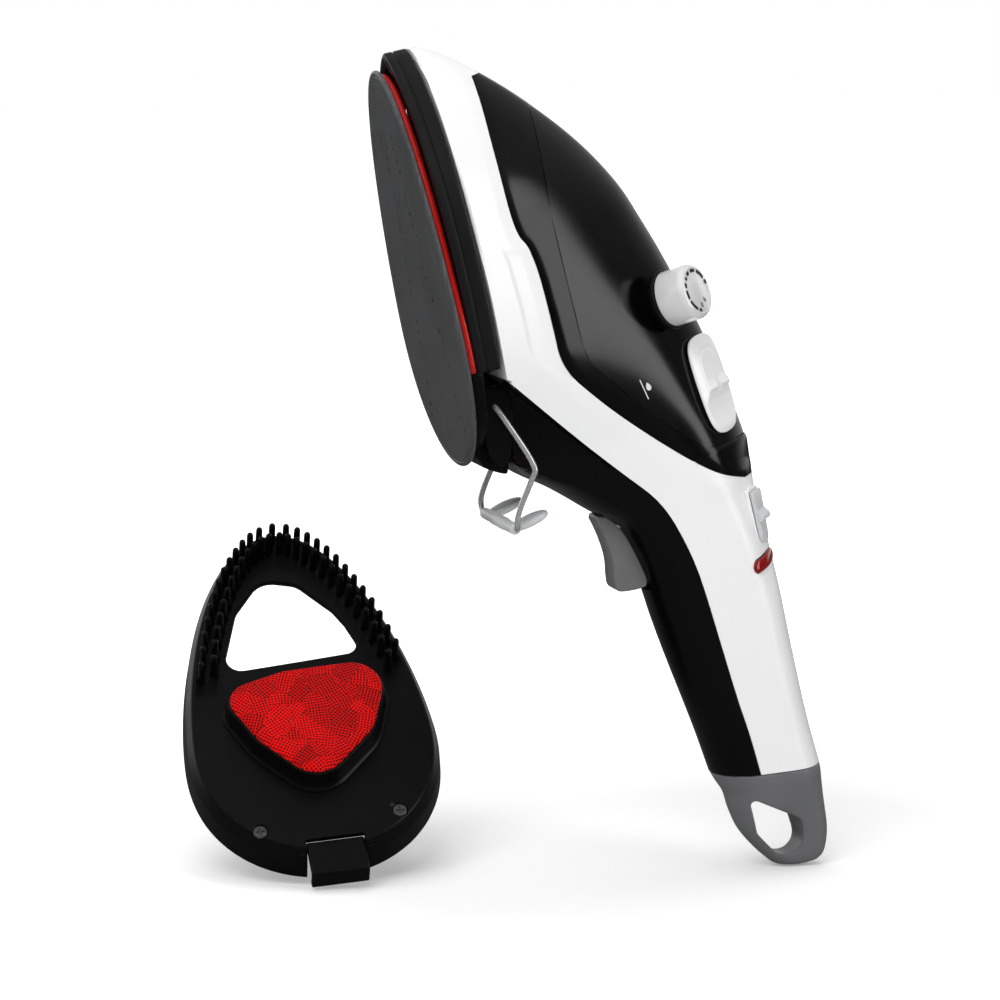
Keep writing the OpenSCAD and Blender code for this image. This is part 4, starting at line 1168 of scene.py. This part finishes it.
def arch_point(t, inset):
    """The same, moved inwards; the bristles stand along two such arches."""
    a, b = rim_point(t - 0.02), rim_point(t + 0.02)
    return rim_point(t) - inset * left_of(unit(b - a))


STEM = [(1.5, -0.6), (1.45, 0.3), (1.4, 4.0), (1.35, 8.0), (1.3, 10.7), (1.15, 11.3), (0.8, 11.8),
        (0.3, 11.98)]
ring = circle(14)
BRISTLE_LENGTH = 12
PAIRS_EACH_SIDE = 13
bristles = []
for k in range(-PAIRS_EACH_SIDE, PAIRS_EACH_SIDE + 1):
    for row in (0, 1):
        q = arch_point((k + 0.5 * row) / (PAIRS_EACH_SIDE + 0.5), 4 + 4.6 * row)
        lean_by = np.array([random.uniform(-0.12, 0.12), random.uniform(-0.12, 0.12)])
        bristles.append(loops_mesh("bristle", on_brush(np.array([
            with_z(q + lean_by * (z / BRISTLE_LENGTH) + ring * r, z) for r, z in STEM]))))
place(joined("visual_bristle_strip", *bristles), "brush", "bristle_black", "bristle_strip")

pad_line = hull_of_circles([(-22, -10.5, 9), (18, -9.5, 12.2), (-1, -35.5, 12.5), (6, -18, 20.6),
                            (-6, -18, 20.2)], 240)
base_rows = np.array([with_z(inset_loop(pad_line, g), z) for g, z in (
    (-0.2, 0.02), (-3.1, 0.02), (-3.1, 0.5), (-2.8, 0.8), (-2.3, 0.95), (-1.7, 2.2), (-0.9, 7.6),
    (-0.75, 8.2), (-0.75, 8.75), (-0.5, 8.98), (-0.1, 9.0), (1.5, 9.0))])
place(loops_mesh("visual_pad_base", on_brush(base_rows)), "brush", "brush_black", "pad_base")
pad_rows = [with_z(inset_loop(pad_line, g), z) for g, z in (
    (1.0, 9.05), (0.15, 9.05), (0.0, 9.4), (0.0, 9.9), (0.25, 10.4), (0.7, 10.75), (1.5, 11.0),
    (3.0, 11.25), (5.0, 11.42), (7.5, 11.54))]
last = pad_rows[-1][:, :2]
middle = last.mean(0)
pad_rows += [with_z(middle + (last - middle) * k, 11.62 - 0.08 * k) for k in np.linspace(0.85, 0.05, 10)]
pad = loops_mesh("visual_lint_pad", on_brush(np.array(pad_rows)))
flat = (np.array([v.co for v in pad.data.vertices]) / MM - BRUSH_AT) @ BRUSH_TURN
weave = pad.data.uv_layers.new(name="weave")
for loop in pad.data.loops:
    weave.data[loop.index].uv = flat[loop.vertex_index][:2] * 0.01 + 0.5
place(pad, "brush", "pad_fabric", "lint_pad")

# -------- finish the carried nodes

slot_of = {s["node"]: s["material_slot"] for s in frame["record"]["subparts"]}
for n, ob in frame["nodes"].items():
    paint(ob, MAT[slot_of[n]])

# -------- floor, light and camera

floor_z = CAD_BOX[0].z - 0.0004
floor = add("floor", [(-5, -4, floor_z), (5, -4, floor_z), (5, 5, floor_z), (-5, 5, floor_z)],
            [(0, 1, 2, 3)], smooth=False)
floor_mat, nt, ground = new_material("floor")
seen = node(nt, "LightPath", {})
# painted reflection: the floor is pale to light but near black to glossy rays, so the pieces show it dark in
# their gloss
floor_dark_in_gloss = mixed(nt, seen.outputs["Is Glossy Ray"], opaque(0.86), opaque(0.10))
# painted glow for camera rays only: dim round the middle and bright further out, so the floor turns white
# away from the object
far = node(nt, "VectorMath", {0: coords(nt)}, operation="LENGTH").outputs["Value"]
painted_floor_glow = ramp(nt, far, [(0.16, grey(0.22)), (0.5, grey(0.95))])
fill(nt, ground, {
    "Base Color": floor_dark_in_gloss, "Roughness": 0.9, "Specular IOR Level": 0.05,
    "Emission Color": opaque(1),
    "Emission Strength": maths(nt, "MULTIPLY", seen.outputs["Is Camera Ray"], painted_floor_glow)})
paint(floor, floor_mat)
floor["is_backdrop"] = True

world = bpy.data.worlds.new("studio")
bpy.context.scene.world = world
world.use_nodes = True
nt = world.node_tree
# the reflections: dark on the camera's side, pale behind the object and dim above
direction = node(nt, "TexCoord", {}).outputs["Generated"]
parts = node(nt, "SeparateXYZ", {0: direction})
half_y = maths(nt, "MULTIPLY_ADD", parts.outputs["Y"], 0.5, 0.5)
around_us = ramp(nt, half_y, [
    (0.0, grey(0.07)), (0.33, grey(0.05)), (0.44, grey(0.10)),
    (0.58, grey(0.05)), (0.65, grey(0.10)), (0.72, grey(0.8)),
    (0.88, grey(0.9)), (1.0, grey(0.9))])
above = ramp(nt, parts.outputs["Z"], [(0.25, grey(0)), (0.6, grey(1))])
reflected = mixed(nt, above, around_us, opaque(0.26))
straight = node(nt, "LightPath", {}).outputs["Is Camera Ray"]
fill(nt, nt.nodes["Background"], {"Color": mixed(nt, straight, reflected, opaque(1)), "Strength": 1.0})


def softbox(name, at, towards, size, power, diffuse=True, glossy=True):
    light = bpy.data.lights.new(name, "AREA")
    light.shape = "RECTANGLE"
    light.size, light.size_y = size
    light.energy = power
    ob = linked(name, light)
    ob.location = at
    ob.rotation_euler = (Vector(towards) - Vector(at)).to_track_quat("-Z", "Y").to_euler()
    ob.visible_diffuse, ob.visible_glossy = diffuse, glossy
    return ob


# the first three light the pieces; the last two only show in their gloss
softbox("key", (-0.75, -0.95, 0.95), (-0.08, 0, 0.08), (0.9, 0.9), 12.5, glossy=False)
softbox("fill", (1.0, -1.2, 0.55), (-0.03, 0, 0.1), (0.8, 0.8), 6.5, glossy=False)
softbox("top", (0.0, 0.1, 1.5), (-0.05, 0, 0.05), (1.3, 1.3), 11.0, glossy=False)
softbox("gleam", (-0.75, -0.95, 0.95), (-0.08, 0, 0.08), (0.5, 0.5), 0.5, diffuse=False)
softbox("side", (1.0, -0.8, 0.42), (0.0, 0, 0.12), (0.36, 1.1), 3.4, diffuse=False)

AZIMUTH, ELEVATION, DISTANCE, SPAN = -15.0, 8.0, 1.9, 0.390
turn, rise = math.radians(AZIMUTH), math.radians(ELEVATION)
away = Vector((math.sin(turn) * math.cos(rise), -math.cos(turn) * math.cos(rise), math.sin(rise)))
target = Vector((-0.0969, 0.0, 0.0728))
camera_data = bpy.data.cameras.new("camera")
camera_data.sensor_width = 36.0
camera_data.lens = 36.0 * DISTANCE / SPAN
camera = linked("camera", camera_data)
camera.location = target + away * DISTANCE
camera.rotation_euler = (-away).to_track_quat("-Z", "Y").to_euler()
bpy.context.scene.camera = camera
bpy.context.scene.view_settings.view_transform = "Standard"

corners = lambda box: [[float(x) for x in v] for v in box]
{"cad": corners(CAD_BOX), "visual": corners(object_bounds())}
